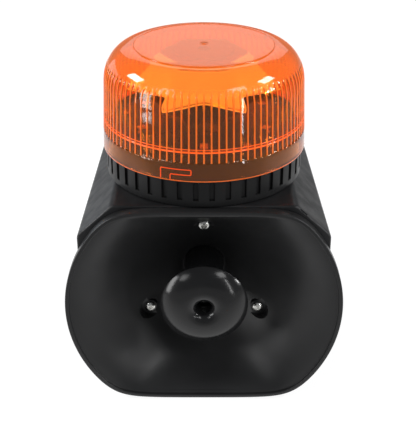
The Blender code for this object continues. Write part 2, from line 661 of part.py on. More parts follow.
def make_centre_cap():
    """Mushroom cap over the throat: a domed shell with a funnel and a stem on its axis."""
    front, rim, rear = -CAP_FRONT_Y, -CAP_RIM_Y, -CAP_REAR_Y
    hole_height = front - FUNNEL_DEPTH
    flat = FUNNEL_LIP_RADIUS
    profile = []
    for step in range(5):
        roll = math.pi / 2 * step / 5
        profile.append((flat - (flat - FUNNEL_HOLE_RADIUS) * math.cos(roll),
                        hole_height + FUNNEL_DEPTH * math.sin(roll)))
    profile += dome_arc(flat, CAP_RADIUS, front, rim, 6)
    profile.append((CAP_RADIUS - 0.6 * MM, rear))
    inner = CAP_RADIUS - CAP_WALL
    profile += dome_arc(flat, inner, front - CAP_WALL, rear, 5)[::-1]
    stem = FUNNEL_HOLE_RADIUS + CAP_WALL
    stem_end = -THROAT_FRONT_Y + CLEARANCE
    profile.append((stem, hole_height))
    profile.append((stem, stem_end))
    profile.append((SHANK_RADIUS + PILOT_GAP, stem_end))
    seat = stem_end + CAP_WALL
    profile.append((SHANK_RADIUS + PILOT_GAP, seat))
    profile.append((FUNNEL_HOLE_RADIUS, seat))
    place = Matrix.Translation((0, 0, AXIS_Z)) @ TO_FRONT
    cap = add_turned("centre_cap", profile, 26, (0.03, 0.03, 0.032), 0.12, matrix=place)
    add_screw("cap_screw", place @ Matrix.Translation((0, 0, seat + CLEARANCE)),
              12 * MM)
    return cap


def make_driver_seal():
    """Foam ring round the throat's flange, between the bulkhead and the driver."""
    inner = THROAT_FLANGE_RADIUS + 1 * MM
    front, rear = -BULKHEAD_REAR_Y - CLEARANCE, -FLANGE_REAR_Y
    profile = [(inner, front), (inner + 3 * MM, front), (inner + 3 * MM, rear), (inner, rear)]
    add_turned("driver_seal", profile, 24, RUBBER, 0.8,
               matrix=Matrix.Translation((0, 0, AXIS_Z)) @ TO_FRONT)


# ---- driver --------------------------------------------------------------------------------
def make_driver():
    """Compression driver behind the bulkhead: frame, plate, magnet, pole and diaphragm."""
    place = Matrix.Translation((0, DRIVER_Y, AXIS_Z)) @ TO_REAR
    rim_inner = DIAPHRAGM_RADIUS + 1.5 * MM
    frame = [(rim_inner, DRIVER_FRAME_DEPTH), (DRIVER_RADIUS, DRIVER_FRAME_DEPTH),
             (DRIVER_RADIUS, 0.0), (THROAT_RADIUS, 0.0), (THROAT_RADIUS, DRIVER_FRAME_THICKNESS),
             (rim_inner, DRIVER_FRAME_THICKNESS)]
    driver = add_turned("driver_frame", frame, 28, BLACK_PLASTIC, 0.5, matrix=place)
    plate_low = DRIVER_FRAME_DEPTH + CLEARANCE
    plate_high = plate_low + POLE_PLATE_THICKNESS
    bore = COIL_RADIUS + COIL_WALL + COIL_GAP
    plate = [(bore, plate_high), (MAGNET_RADIUS + 2 * MM, plate_high),
             (MAGNET_RADIUS + 2 * MM, plate_low), (bore, plate_low)]
    add_turned("driver_plate", plate, 28, STEEL, 0.35, 1.0, place)
    magnet_low = plate_high + CLEARANCE
    magnet_high = magnet_low + MAGNET_THICKNESS
    magnet = [(MAGNET_BORE, magnet_high), (MAGNET_RADIUS, magnet_high),
              (MAGNET_RADIUS, magnet_low), (MAGNET_BORE, magnet_low)]
    add_turned("driver_magnet", magnet, 28, (0.06, 0.06, 0.065), 0.6, 0.3, place)
    yoke_low = magnet_high + CLEARANCE
    yoke_high = yoke_low + POLE_PLATE_THICKNESS
    pole = [(0.0, yoke_high), (MAGNET_RADIUS + 2 * MM, yoke_high),
            (MAGNET_RADIUS + 2 * MM, yoke_low), (POLE_RADIUS, yoke_low),
            (POLE_RADIUS, plate_low), (0.0, plate_low)]
    add_turned("driver_pole", pole, 28, STEEL, 0.35, 1.0, place, closed=False)
    add_diaphragm(place)
    hole = rod_mesh("frame_screw_hole", SMALL_SHANK_RADIUS + PILOT_GAP, -14 * MM, 12 * MM, 8)
    length = BULKHEAD_THICKNESS + THROAT_FLANGE_THICKNESS + 2 * CLEARANCE + 3.2 * MM
    for number, degrees in enumerate(DRIVER_SCREW_ANGLES, 1):
        spot = Matrix.Translation(round_horn_axis(DRIVER_SCREW_CIRCLE, degrees,
                                                  BULKHEAD_Y - CLEARANCE)) @ TO_FRONT
        add_screw(f"driver_screw_{number}", spot, length, SMALL_HEAD_RADIUS, SMALL_HEAD_HEIGHT,
                  SMALL_SHANK_RADIUS, 8)
        cut(driver, add_cutter(f"frame_hole_{number}", hole, spot))
    return driver


def add_diaphragm(place):
    """Domed diaphragm with a flat surround and the voice coil's tube, one moving piece."""
    seat = DRIVER_FRAME_THICKNESS + 2.6 * MM
    thick = DIAPHRAGM_THICKNESS
    coil = COIL_RADIUS + COIL_WALL
    coil_end = DRIVER_FRAME_DEPTH + CLEARANCE + POLE_PLATE_THICKNESS
    dome = [(coil * math.sin(math.pi / 2 * step / 3),
             seat - DIAPHRAGM_DOME * math.cos(math.pi / 2 * step / 3)) for step in range(4)]
    share = COIL_RADIUS / coil
    back = [(radius * share, height + thick) for radius, height in dome]
    tube = [(COIL_RADIUS, coil_end), (coil, coil_end), (coil, seat + thick)]
    edge = [(DIAPHRAGM_RADIUS, seat + thick), (DIAPHRAGM_RADIUS, seat)]
    add_turned("diaphragm", back + tube + edge + dome[::-1], 20, (0.75, 0.62, 0.35), 0.5,
               matrix=place, closed=False)


# ---- beacon --------------------------------------------------------------------------------
def lug_turns():
    """Degrees round the beacon's axis from one bayonet lug to each of the others."""
    return [360.0 / LUG_COUNT * number for number in range(LUG_COUNT)]


def make_base_ring():
    """Black beacon base: a slotted foot ring, a neck with three lugs, and a floor."""
    low, top = RING_BOTTOM_Z, RING_TOP_Z
    inner = NECK_RADIUS - NECK_WALL
    profile = [(inner, NECK_TOP_Z), (NECK_RADIUS, NECK_TOP_Z), (NECK_RADIUS, top),
               (RING_RADIUS, top), (RING_RADIUS, low), (WIRE_HOLE_RADIUS, low),
               (WIRE_HOLE_RADIUS, low + RING_FLOOR), (inner, low + RING_FLOOR)]
    ring = add_turned("base_ring", profile, 48, BLACK_PLASTIC, 0.5)
    slots = bmesh.new()
    middle = low + RING_HEIGHT - RING_SLOT_HEIGHT / 2 - 1.0 * MM
    for number in range(RING_SLOTS):
        spin = Matrix.Rotation(2 * math.pi * (number + 0.5) / RING_SLOTS, 4, "Z")
        reach = Matrix.Translation((0, -RING_RADIUS, middle))
        size = Matrix.Diagonal((RING_SLOT_WIDTH, 2 * RING_SLOT_DEPTH, RING_SLOT_HEIGHT, 1))
        bmesh.ops.create_cube(slots, size=1.0, matrix=spin @ reach @ size)
    mesh = bpy.data.meshes.new("grip_slots")
    slots.to_mesh(mesh)
    slots.free()
    cut(ring, add_cutter("grip_slots", mesh))
    lug_radius = LENS_SKIRT_INNER + SLOT_DEPTH - FIT
    lug_first = SLOT_END_ANGLE - SLOT_ENTRY_WIDTH + LUG_PLAY
    lug_last = SLOT_END_ANGLE - LUG_PLAY
    lug_middle = LENS_FOOT_Z + (SLOT_LOW + SLOT_HIGH) / 2
    lugs = [sector_mesh(f"lug_{number}", NECK_RADIUS - 1 * MM, lug_radius, lug_first + turn,
                        lug_last + turn, lug_middle - LUG_HEIGHT / 2,
                        lug_middle + LUG_HEIGHT / 2, 2)
            for number, turn in enumerate(lug_turns())]
    join(ring, add_cutter("bayonet_lugs", merged_mesh("bayonet_lugs", lugs)))
    post_top = LED_BOARD_Z - CLEARANCE
    posts = []
    holes = []
    for degrees in LED_POST_ANGLES:
        place = Matrix.Translation(round_from_front(LED_POST_CIRCLE, degrees))
        posts.append((place, LED_POST_RADIUS, low + RING_FLOOR / 2, post_top, 12))
        holes.append((place, SMALL_SHANK_RADIUS + PILOT_GAP, post_top - 9 * MM,
                      post_top + 3 * MM, 8))
    for number, degrees in enumerate(BEACON_SCREW_ANGLES, 1):
        place = Matrix.Translation(round_from_front(BEACON_SCREW_CIRCLE, degrees, low))
        holes.append((place, SHANK_RADIUS + PILOT_GAP, -4 * MM, 8 * MM, 8))
        seat = place @ Matrix.Translation((0, 0, RING_FLOOR + CLEARANCE))
        add_screw(f"beacon_screw_{number}", seat, RING_FLOOR + HOUSING_WALL + 4 * MM)
    join(ring, add_cutter("led_posts", rods_mesh("led_posts", posts)))
    cut(ring, add_cutter("ring_holes", rods_mesh("ring_holes", holes)))
    return ring


def lens_curve(shoulder, top_radius, top_height, steps=6):
    """Shoulder of the lens, a rounded quarter from its flat top down to its wall."""
    points = []
    for step in range(steps + 1):
        angle = math.pi / 2 * (1 - step / steps)
        across = math.cos(angle) ** (2 / LENS_ROUNDING) if step else 0.0
        up = math.sin(angle) ** (2 / LENS_ROUNDING) if step < steps else 0.0
        points.append((top_radius + (shoulder - top_radius) * across,
                       LENS_SHOULDER_HEIGHT + (top_height - LENS_SHOULDER_HEIGHT) * up))
    return points


def make_lens():
    """Amber dome: a flat top, a round shoulder, a near-straight wall and a bayonet skirt."""
    step_radius = LENS_TOP_RADIUS - 0.8 * MM
    outer = [(0.0, LENS_HEIGHT), (step_radius, LENS_HEIGHT)]
    outer += lens_curve(LENS_SHOULDER_RADIUS, LENS_TOP_RADIUS, LENS_HEIGHT - LENS_TOP_STEP)
    outer.append((LENS_FOOT_RADIUS, 0.0))
    inner = [(LENS_SKIRT_INNER, 0.0), (LENS_SKIRT_INNER, LENS_SHELF_HEIGHT),
             (LENS_SKIRT_INNER - SEAL_WIDTH, LENS_SHELF_HEIGHT)]
    inner += lens_curve(LENS_SHOULDER_RADIUS - LENS_WALL, LENS_TOP_RADIUS - LENS_WALL / 2,
                        LENS_HEIGHT - LENS_TOP_STEP - LENS_WALL)[::-1]
    inner.append((0.0, LENS_HEIGHT - LENS_TOP_STEP - LENS_WALL))
    place = Matrix.Translation((0, 0, LENS_FOOT_Z))
    lens = add_turned("lens", outer + inner, LENS_SEGMENTS, AMBER, 0.08, matrix=place,
                      closed=False)
    outer_reach = LENS_SKIRT_INNER + SLOT_DEPTH
    shafts = []
    runs = []
    for number, turn in enumerate(lug_turns()):
        shafts.append(sector_mesh(f"entry_{number}", NECK_RADIUS - 1 * MM, outer_reach,
                                  SLOT_ENTRY_ANGLE + turn,
                                  SLOT_ENTRY_ANGLE + SLOT_ENTRY_WIDTH + turn,
                                  -1 * MM, SLOT_HIGH - 1 * MM, 2))
        runs.append(sector_mesh(f"run_{number}", NECK_RADIUS - 1 * MM, outer_reach,
                                SLOT_ENTRY_ANGLE + turn, SLOT_END_ANGLE + turn,
                                SLOT_LOW, SLOT_HIGH, 5))
    cut(lens, add_cutter("slot_entries", merged_mesh("slot_entries", shafts), place))
    cut(lens, add_cutter("slot_runs", merged_mesh("slot_runs", runs), place))
    return lens


def make_lens_seal():
    """Rubber ring between the neck's top and the shelf inside the lens."""
    inner = LENS_SKIRT_INNER - SEAL_WIDTH + FIT
    outer = LENS_SKIRT_INNER - FIT
    profile = [(inner, SHELF_Z - CLEARANCE), (outer, SHELF_Z - CLEARANCE),
               (outer, NECK_TOP_Z + CLEARANCE), (inner, NECK_TOP_Z + CLEARANCE)]
    add_turned("lens_seal", profile, 32, RUBBER, 0.8)


def make_light():
    """LED board, six LEDs, six-lobed reflector and its plate."""
    board = add_object("led_board", rod_mesh("led_board", LED_BOARD_RADIUS, LED_BOARD_Z,
                                             LED_BOARD_Z + BOARD_THICKNESS, 48),
                       (0.012, 0.013, 0.014), 0.4)
    for number, degrees in enumerate(LED_POST_ANGLES, 1):
        place = Matrix.Translation(round_from_front(LED_POST_CIRCLE, degrees))
        hole = rod_mesh(f"board_hole_{number}", SMALL_SHANK_RADIUS + PILOT_GAP,
                        LED_BOARD_Z - 2 * MM, LED_BOARD_Z + 4 * MM, 8)
        cut(board, add_cutter(f"board_hole_{number}", hole, place))
        seat = place @ Matrix.Translation((0, 0, LED_BOARD_Z + BOARD_THICKNESS + CLEARANCE))
        add_screw(f"led_board_screw_{number}", seat, 8 * MM, SMALL_HEAD_RADIUS,
                  SMALL_HEAD_HEIGHT, SMALL_SHANK_RADIUS, 8)
    for number in range(LOBES):
        degrees = 360.0 / LOBES * number
        spot = round_from_front(LED_CIRCLE, degrees,
                                LED_BOARD_Z + BOARD_THICKNESS + CLEARANCE + LED_SIZE[2] / 2)
        place = Matrix.Translation(spot) @ Matrix.Rotation(math.radians(degrees), 4, "Z")
        add_object(f"led_{number + 1}", box_mesh(f"led_{number + 1}", LED_SIZE),
                   (0.9, 0.85, 0.5), 0.3, matrix=place)
    make_reflector()


def lobe_ring(cusp, waist, z, steps=6):
    """A ring of six concave arcs between cusps; the arcs follow a squared cosine."""
    ring = []
    for step in range(LOBES * steps):
        degrees = 360.0 / LOBES * step / steps
        bulge = math.sin(math.pi * step / steps) ** 2
        pinch = 1.0 - math.sqrt(bulge)
        ring.append(round_from_front(cusp - (cusp - waist) * (1.0 - pinch), degrees + 30.0, z))
    return ring


def reflector_scoops(inset, lift):
    """Rings of the six scoops from foot to edge, moved inward and up."""
    levels = 3
    rings = []
    for level in range(levels + 1):
        t = level / levels
        grow = REFLECTOR_FOOT_SHARE + (1 - REFLECTOR_FOOT_SHARE) * t ** 1.7
        rings.append(lobe_ring(REFLECTOR_CUSP * grow - inset, REFLECTOR_WAIST * grow - inset,
                               REFLECTOR_Z + REFLECTOR_HEIGHT * t + lift))
    return rings


def make_reflector():
    """Metallised shell: six scoops that widen upward under a sloped roof, with a hex plate."""
    rings = reflector_scoops(0.0, 0.0)
    rings.append(lobe_ring(REFLECTOR_PLATE_RADIUS, REFLECTOR_PLATE_RADIUS * math.cos(math.pi / 6),
                           REFLECTOR_TOP_Z))
    reflector = add_object("reflector", loft_mesh("reflector", rings), (0.85, 0.85, 0.83), 0.15,
                           1.0)
    inside = reflector_scoops(REFLECTOR_WALL, REFLECTOR_LIFT)
    foot = [Vector((point[0], point[1], REFLECTOR_Z - 2 * MM)) for point in inside[0]]
    crown = REFLECTOR_PLATE_RADIUS - REFLECTOR_WALL
    inside.append(lobe_ring(crown, crown * math.cos(math.pi / 6),
                            REFLECTOR_TOP_Z - REFLECTOR_CROWN))
    cut(reflector, add_cutter("reflector_hollow", loft_mesh("reflector_hollow",
                                                            [foot] + inside)))
    bore = rod_mesh("reflector_bore", SHANK_RADIUS + PILOT_GAP,
                    REFLECTOR_TOP_Z - REFLECTOR_CROWN - 5 * MM, REFLECTOR_TOP_Z + 2 * MM, 12)
    cut(reflector, add_cutter("reflector_bore", bore))
    low = REFLECTOR_TOP_Z + CLEARANCE
    high = low + REFLECTOR_PLATE_THICKNESS
    cover = add_object("reflector_plate", rod_mesh("reflector_plate",
                                                   REFLECTOR_PLATE_RADIUS * 0.96, low, high, 6),
                       (0.8, 0.8, 0.8), 0.3)
    disc = rod_mesh("plate_disc", REFLECTOR_DISC_RADIUS, high - REFLECTOR_PLATE_THICKNESS / 2,
                    high + REFLECTOR_DISC_HEIGHT, 40)
    join(cover, add_cutter("plate_disc", disc))
    well = Matrix.Identity(4)
    holes = [(well, HEAD_RADIUS + 2 * PILOT_GAP, high, high + 6 * MM, 20),
             (well, SHANK_RADIUS + PILOT_GAP, low - 2 * MM, high + 1 * MM, 12)]
    for number, hole in enumerate(holes):
        cut(cover, add_cutter(f"plate_hole_{number}", rods_mesh(f"plate_hole_{number}", [hole])))
    add_screw("reflector_screw", Matrix.Translation((0, 0, high + CLEARANCE)), 6 * MM)


# ---- rear cover and electronics ------------------------------------------------------------
def make_rear_cover():
    """Rear plate with four board posts inside, on a thin frame seal."""
    cover = add_object("rear_cover", housing_prism("rear_cover", 0.0, COVER_Y, COVER_REAR_Y,
                                                   HOUSING_EDGE_RADIUS), BLACK_PLASTIC, 0.5)
    seal = add_object("rear_seal", housing_prism("rear_seal", 0.8 * MM, COVER_SEAL_Y,
                                                 COVER_SEAL_Y + COVER_SEAL_THICKNESS,
                                                 HOUSING_EDGE_RADIUS), RUBBER, 0.8)
    seal_hole = housing_prism("seal_hole", HOUSING_WALL + 0.4 * MM, COVER_SEAL_Y - 5 * MM,
                              COVER_Y + 5 * MM, HOUSING_EDGE_RADIUS * 0.6)
    cut(seal, add_cutter("seal_hole", seal_hole))
    hole = rod_mesh("cover_hole", SHANK_RADIUS + PILOT_GAP, -20 * MM, 12 * MM, 8)
    for number, (x, z) in enumerate(cover_post_places(), 1):
        place = Matrix.Translation((x, COVER_REAR_Y + CLEARANCE, z)) @ TO_REAR
        cut(cover, add_cutter(f"cover_hole_{number}", hole, place))
        add_screw(f"rear_screw_{number}", place, COVER_THICKNESS + COVER_SEAL_THICKNESS + 12 * MM,
                  cross=True)
    post_low = COVER_THICKNESS / 2
    post_high = COVER_THICKNESS + CONTROL_BOARD_GAP - BOARD_THICKNESS - CLEARANCE
    half_x = CONTROL_BOARD_SIZE[0] / 2 - BOARD_POST_INSET
    half_z = CONTROL_BOARD_SIZE[1] / 2 - BOARD_POST_INSET
    board = make_control_board()
    places = [(sx * half_x, CONTROL_BOARD_Z + sz * half_z) for sx in (-1, 1) for sz in (-1, 1)]
    for number, (x, z) in enumerate(places, 1):
        place = Matrix.Translation((x, COVER_REAR_Y, z)) @ TO_FRONT
        post = rod_mesh(f"board_post_{number}", BOARD_POST_RADIUS, post_low, post_high, 16)
        join(cover, add_cutter(f"board_post_{number}", post, place))
        pilot = rod_mesh(f"board_pilot_{number}", SMALL_SHANK_RADIUS + PILOT_GAP,
                         post_high - 8 * MM, post_high + 6 * MM, 8)
        cutter = add_cutter(f"board_pilot_{number}", pilot, place)
        cut(cover, cutter)
        cut(board, cutter)
        seat = place @ Matrix.Translation((0, 0, post_high + BOARD_THICKNESS + 2 * CLEARANCE))
        add_screw(f"control_screw_{number}", seat, 8 * MM, SMALL_HEAD_RADIUS,
                  SMALL_HEAD_HEIGHT, SMALL_SHANK_RADIUS, 8)
    make_gland(cover)
    return cover


def make_control_board():
    """Driver board with a terminal block, a capacitor and a step-up transformer."""
    board_front = CONTROL_BOARD_Y
    size = (CONTROL_BOARD_SIZE[0], BOARD_THICKNESS, CONTROL_BOARD_SIZE[1])
    board = add_object("control_board", box_mesh("control_board", size), BOARD_GREEN, 0.5,
                       matrix=Matrix.Translation((0, board_front + BOARD_THICKNESS / 2,
                                                  CONTROL_BOARD_Z)))
    face = board_front - CLEARANCE
    terminal = Matrix.Translation((0, face - TERMINAL_SIZE[2] / 2,
                                   CONTROL_BOARD_Z - CONTROL_BOARD_SIZE[1] / 2 + 10 * MM))
    block = add_object("terminal_block",
                       box_mesh("terminal_block", (TERMINAL_SIZE[0], TERMINAL_SIZE[2],
                                                   TERMINAL_SIZE[1])),
                       (0.05, 0.30, 0.12), 0.5, matrix=terminal)
    for number in range(4):
        well = rod_mesh(f"terminal_well_{number}", 2.2 * MM, -2 * MM, 4 * MM, 8)
        spot = terminal @ Matrix.Translation(((number - 1.5) * 7 * MM, -TERMINAL_SIZE[2] / 2, 0))
        cut(block, add_cutter(f"terminal_well_{number}", well, spot @ TO_REAR))
    can = [(0.0, CAPACITOR_LENGTH), (CAPACITOR_RADIUS * 0.9, CAPACITOR_LENGTH),
           (CAPACITOR_RADIUS, CAPACITOR_LENGTH - 0.8 * MM), (CAPACITOR_RADIUS, 0.0), (0.0, 0.0)]
    add_turned("capacitor", can, 20, (0.03, 0.04, 0.12), 0.4, closed=False,
               matrix=Matrix.Translation((-24 * MM, face, CONTROL_BOARD_Z + 12 * MM)) @ TO_FRONT)
    transformer = (TRANSFORMER_SIZE[0], TRANSFORMER_SIZE[2], TRANSFORMER_SIZE[1])
    add_object("transformer", box_mesh("transformer", transformer), (0.55, 0.45, 0.08), 0.5,
               matrix=Matrix.Translation((18 * MM, face - TRANSFORMER_SIZE[2] / 2,
                                          CONTROL_BOARD_Z + 12 * MM)))
    return board


def make_gland(cover):
    """Cable gland through the rear cover, with its lock nut inside."""
    outside = COVER_REAR_Y + CLEARANCE
    place = Matrix.Translation((0, outside, GLAND_Z)) @ TO_REAR
    flange = GLAND_FLANGE_THICKNESS
    thread_end = -(COVER_THICKNESS + GLAND_NUT_THICKNESS + 3 * MM)
    dome = flange + GLAND_DOME_LENGTH
    profile = [(GLAND_BORE, dome), (GLAND_BORE + 2 * MM, dome),
               (GLAND_THREAD_RADIUS, dome - 4 * MM), (GLAND_FLANGE_RADIUS * 0.9, dome - 5 * MM),
               (GLAND_FLANGE_RADIUS * 0.9, flange), (GLAND_FLANGE_RADIUS, flange),
               (GLAND_FLANGE_RADIUS, 0.0), (GLAND_THREAD_RADIUS, 0.0),
               (GLAND_THREAD_RADIUS, thread_end), (GLAND_BORE, thread_end)]
    add_turned("cable_gland", profile, 18, BLACK_PLASTIC, 0.45, matrix=place)
    hole = rod_mesh("gland_hole", GLAND_THREAD_RADIUS + FIT, -20 * MM, 10 * MM, 24)
    cut(cover, add_cutter("gland_hole", hole, place))
    nut_top = -(COVER_THICKNESS + 2 * CLEARANCE)
    nut = add_object("gland_nut", rod_mesh("gland_nut", GLAND_FLANGE_RADIUS, nut_top
                                           - GLAND_NUT_THICKNESS, nut_top, 6),
                     BLACK_PLASTIC, 0.45, matrix=place)
    cut(nut, bpy.data.objects["gland_hole"])


make_housing()
make_horn()
make_throat_tube()
make_centre_cap()
make_driver_seal()
make_driver()
make_base_ring()
make_lens()
make_lens_seal()
make_light()
make_rear_cover()
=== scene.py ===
import json

import bpy
import numpy as np
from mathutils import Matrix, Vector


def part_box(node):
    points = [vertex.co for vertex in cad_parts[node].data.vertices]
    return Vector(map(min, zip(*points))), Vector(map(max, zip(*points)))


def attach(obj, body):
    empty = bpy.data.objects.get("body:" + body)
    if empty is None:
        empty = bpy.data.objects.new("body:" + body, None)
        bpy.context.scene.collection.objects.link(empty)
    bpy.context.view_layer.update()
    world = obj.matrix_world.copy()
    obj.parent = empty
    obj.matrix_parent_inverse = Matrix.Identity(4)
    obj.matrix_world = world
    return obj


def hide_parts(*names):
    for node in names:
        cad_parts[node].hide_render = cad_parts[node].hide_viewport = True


# Alarm siren: horn sounder with an amber beacon.  Shapes are worked out in millimetres, in the
# model's own frame: +Z up, the horn looks along -Y, the beacon's axis is the Z axis.
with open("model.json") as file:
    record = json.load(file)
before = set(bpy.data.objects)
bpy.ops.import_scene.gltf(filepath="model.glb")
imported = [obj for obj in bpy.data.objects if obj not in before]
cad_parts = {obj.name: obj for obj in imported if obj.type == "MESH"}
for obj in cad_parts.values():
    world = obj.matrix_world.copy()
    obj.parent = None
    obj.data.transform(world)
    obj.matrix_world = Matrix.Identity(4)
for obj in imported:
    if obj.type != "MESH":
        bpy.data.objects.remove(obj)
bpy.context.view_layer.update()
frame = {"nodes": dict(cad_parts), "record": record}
for packed_material in list(bpy.data.materials):
    bpy.data.materials.remove(packed_material)

MM = 0.001
TURN = 2 * np.pi
TINY = 1e-7


def corners(node):
    """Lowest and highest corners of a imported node, in millimetres."""
    low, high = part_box(node)
    return np.array(low) / MM, np.array(high) / MM


def centre(node):
    """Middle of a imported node's box, in millimetres."""
    return sum(corners(node)) / 2


# ---- sizes shared by several pieces ----
HORN_LOW, HORN_HIGH = corners("horn")
LENS_LOW, LENS_HIGH = corners("lens")
RING_LOW, RING_HIGH = corners("base_ring")
HOUSING_LOW, HOUSING_HIGH = corners("housing")
HORN_RADIUS = 90.0
AXIS_Z = (HORN_LOW[2] + HORN_HIGH[2]) / 2
LENS_FOOT = LENS_LOW[2]
LENS_HEIGHT = LENS_HIGH[2] - LENS_LOW[2]


# ---- camera, first ----
def place_camera():
    """The camera stands in front of the horn and looks down on it."""
    data = bpy.data.cameras.new("camera")
    data.lens = 85.51
    data.sensor_width = 36.0
    data.shift_x = 0.0095
    data.clip_start = 0.01
    data.clip_end = 100.0
    camera = bpy.data.objects.new("camera", data)
    camera.location = (0.0, -0.6154, 0.426)
    camera.rotation_euler = (np.radians(90.0 - 27.4), 0.0, 0.0)
    bpy.context.scene.collection.objects.link(camera)
    bpy.context.scene.camera = camera


place_camera()


# ---- skins and pieces ----
def skin(grid, loop=False, glow=None):
    """Closed skin over a grid of points whose columns run round and join up.

    With `loop` the last row joins the first.  Without it each end closes in a fan to the middle
    of its row.  The faces are turned so that the volume inside them comes out positive.
    """
    grid = np.asarray(grid, float)
    glow = np.zeros(grid.shape[:2]) if glow is None else np.broadcast_to(glow, grid.shape[:2])
    poles = np.empty((0, 3))
    pole_glow = np.empty(0)
    if not loop:
        poles = np.stack([grid[0].mean(axis=0), grid[-1].mean(axis=0)])
        pole_glow = np.array([glow[0].mean(), glow[-1].mean()])
        first = 1 if np.ptp(grid[0], axis=0).max() < TINY else 0
        last = len(grid) - (1 if np.ptp(grid[-1], axis=0).max() < TINY else 0)
        grid, glow = grid[first:last], glow[first:last]
    rows, columns = grid.shape[:2]
    index = np.arange(rows * columns).reshape(rows, columns)
    lower, upper = (index, np.roll(index, -1, 0)) if loop else (index[:-1], index[1:])
    quads = np.stack([lower, np.roll(lower, -1, 1), np.roll(upper, -1, 1), upper],
                     axis=-1).reshape(-1, 4)
    fans = np.empty((0, 3), int)
    if not loop:
        start = np.full(columns, rows * columns)
        fans = np.vstack([np.stack([start, np.roll(index[0], -1), index[0]], axis=-1),
                          np.stack([start + 1, index[-1], np.roll(index[-1], -1)], axis=-1)])
    points = np.vstack([grid.reshape(-1, 3), poles])
    thirds = np.vstack([quads[:, [0, 1, 2]], quads[:, [0, 2, 3]], fans])
    a, b, c = points[thirds[:, 0]], points[thirds[:, 1]], points[thirds[:, 2]]
    if np.einsum("ij,ij->", a, np.cross(b, c)) < 0:
        quads, fans = quads[:, ::-1], fans[:, ::-1]
    return points, quads, fans, np.concatenate([glow.reshape(-1), pole_glow])


def make_mesh(name, skins, angle=30.0):
    """One mesh from several closed skins, smooth but for edges sharper than the angle."""
    points, faces, glow = [], [], []
    count = 0
    for skin_points, quads, fans, skin_glow in skins:
        points.append(skin_points * MM)
        faces += (quads + count).tolist() + (fans + count).tolist()
        glow.append(skin_glow)
        count += len(skin_points)
    mesh = bpy.data.meshes.new(name)
    mesh.from_pydata(np.vstack(points), [], faces)
    values = np.concatenate(glow).astype(np.float32)
    if values.any():
        mesh.attributes.new("glow", "FLOAT", "POINT").data.foreach_set("value", values)
    mesh.shade_smooth()
    mesh.set_sharp_from_angle(angle=np.radians(angle))
    return mesh


def piece(name, skins, material, body="siren_body", nodes=(), cutters=(), angle=30.0):
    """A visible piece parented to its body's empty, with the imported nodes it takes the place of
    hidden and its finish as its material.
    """
    part = bpy.data.objects.new(name, make_mesh(name, skins, angle))
    part.data.materials.append(material)
    bpy.context.scene.collection.objects.link(part)
    if cutters:
        carve(part, cutters, angle)
    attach(part, body)
    if nodes:
        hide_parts(*nodes)
    return part


def carve(part, cutters, angle):
    """The cutters' closed skins are taken out of the part and the result is kept as its mesh."""
    tool = bpy.data.objects.new("tool", make_mesh("tool", cutters))
    bpy.context.scene.collection.objects.link(tool)
    change = part.modifiers.new("carve", "BOOLEAN")
    change.operation = "DIFFERENCE"
    change.solver = "EXACT"
    change.object = tool
    scene_state = bpy.context.evaluated_depsgraph_get()
    cut_mesh = bpy.data.meshes.new_from_object(part.evaluated_get(scene_state))
    cut_mesh.name = part.name
    part.modifiers.clear()
    part.data = cut_mesh
    bpy.data.objects.remove(tool)
    cut_mesh.shade_smooth()
    cut_mesh.set_sharp_from_angle(angle=np.radians(angle))


# ---- shape tools ----
FACINGS = {"up": np.eye(3), "front": np.array([[1, 0, 0], [0, 0, -1], [0, 1, 0]]),
           "rear": np.array([[1, 0, 0], [0, 0, 1], [0, -1, 0]]), "down": np.diag([1, -1, -1])}


def placed(points, origin, facing="up"):
    """Points turned so that their own +Z looks the named way, then moved to the origin given."""
    return points @ FACINGS[facing].T + np.asarray(origin, float)


def smooth_step(value):
    """0 below 0, 1 above 1, and a soft cubic between."""
    value = np.clip(value, 0.0, 1.0)
    return value * value * (3 - 2 * value)


def rounded(profile, radius, steps=4, closed=True):
    """A profile whose sharp corners become short curves.

    Each curve leaves one side and meets the next at the radius from the corner: it is the
    parabola between those two points that is pulled to the corner.  Corners that turn by less
    than 20 degrees stay as they are.
    """
    corner = np.asarray(profile, float)
    back, ahead = np.roll(corner, 1, 0) - corner, np.roll(corner, -1, 0) - corner
    back_length = np.maximum(np.linalg.norm(back, axis=1), TINY)
    ahead_length = np.maximum(np.linalg.norm(ahead, axis=1), TINY)
    cosine = (back * ahead).sum(axis=1) / back_length / ahead_length
    reach = np.minimum(radius, 0.45 * np.minimum(back_length, ahead_length))
    reach = np.where(cosine < -np.cos(np.radians(20.0)), 0.0, reach)
    if not closed:
        reach[[0, -1]] = 0.0
    start = corner + back * (reach / back_length)[:, None]
    end = corner + ahead * (reach / ahead_length)[:, None]
    t = np.linspace(0, 1, steps + 1)[None, :, None]
    curve = ((1 - t) ** 2 * start[:, None] + 2 * t * (1 - t) * corner[:, None]
             + t ** 2 * end[:, None]).reshape(-1, corner.shape[1])
    step = np.linalg.norm(np.diff(curve, axis=0, prepend=curve[-1:]), axis=1)
    step[0] = 1.0 if not closed else step[0]
    return curve[step > 1e-4]


def evenly(points, spacing):
    """Points read at even distances along a path, at most the spacing apart."""
    points = np.asarray(points, float)
    along = np.concatenate([[0.0], np.cumsum(np.linalg.norm(np.diff(points, axis=0), axis=1))])
    count = int(np.ceil(along[-1] / spacing)) + 1
    places = np.linspace(0, along[-1], count)
    return np.stack([np.interp(places, along, column) for column in points.T], axis=-1)


def circle(count):
    """Even angles round a full turn."""
    return TURN * np.arange(count) / count


def rings_at(radius, height, angle):
    """Points at each angle round the Z axis, from radii and heights that broadcast."""
    x, y = radius * np.cos(angle), radius * np.sin(angle)
    return np.stack([x, y, np.broadcast_to(height, x.shape)], axis=-1)


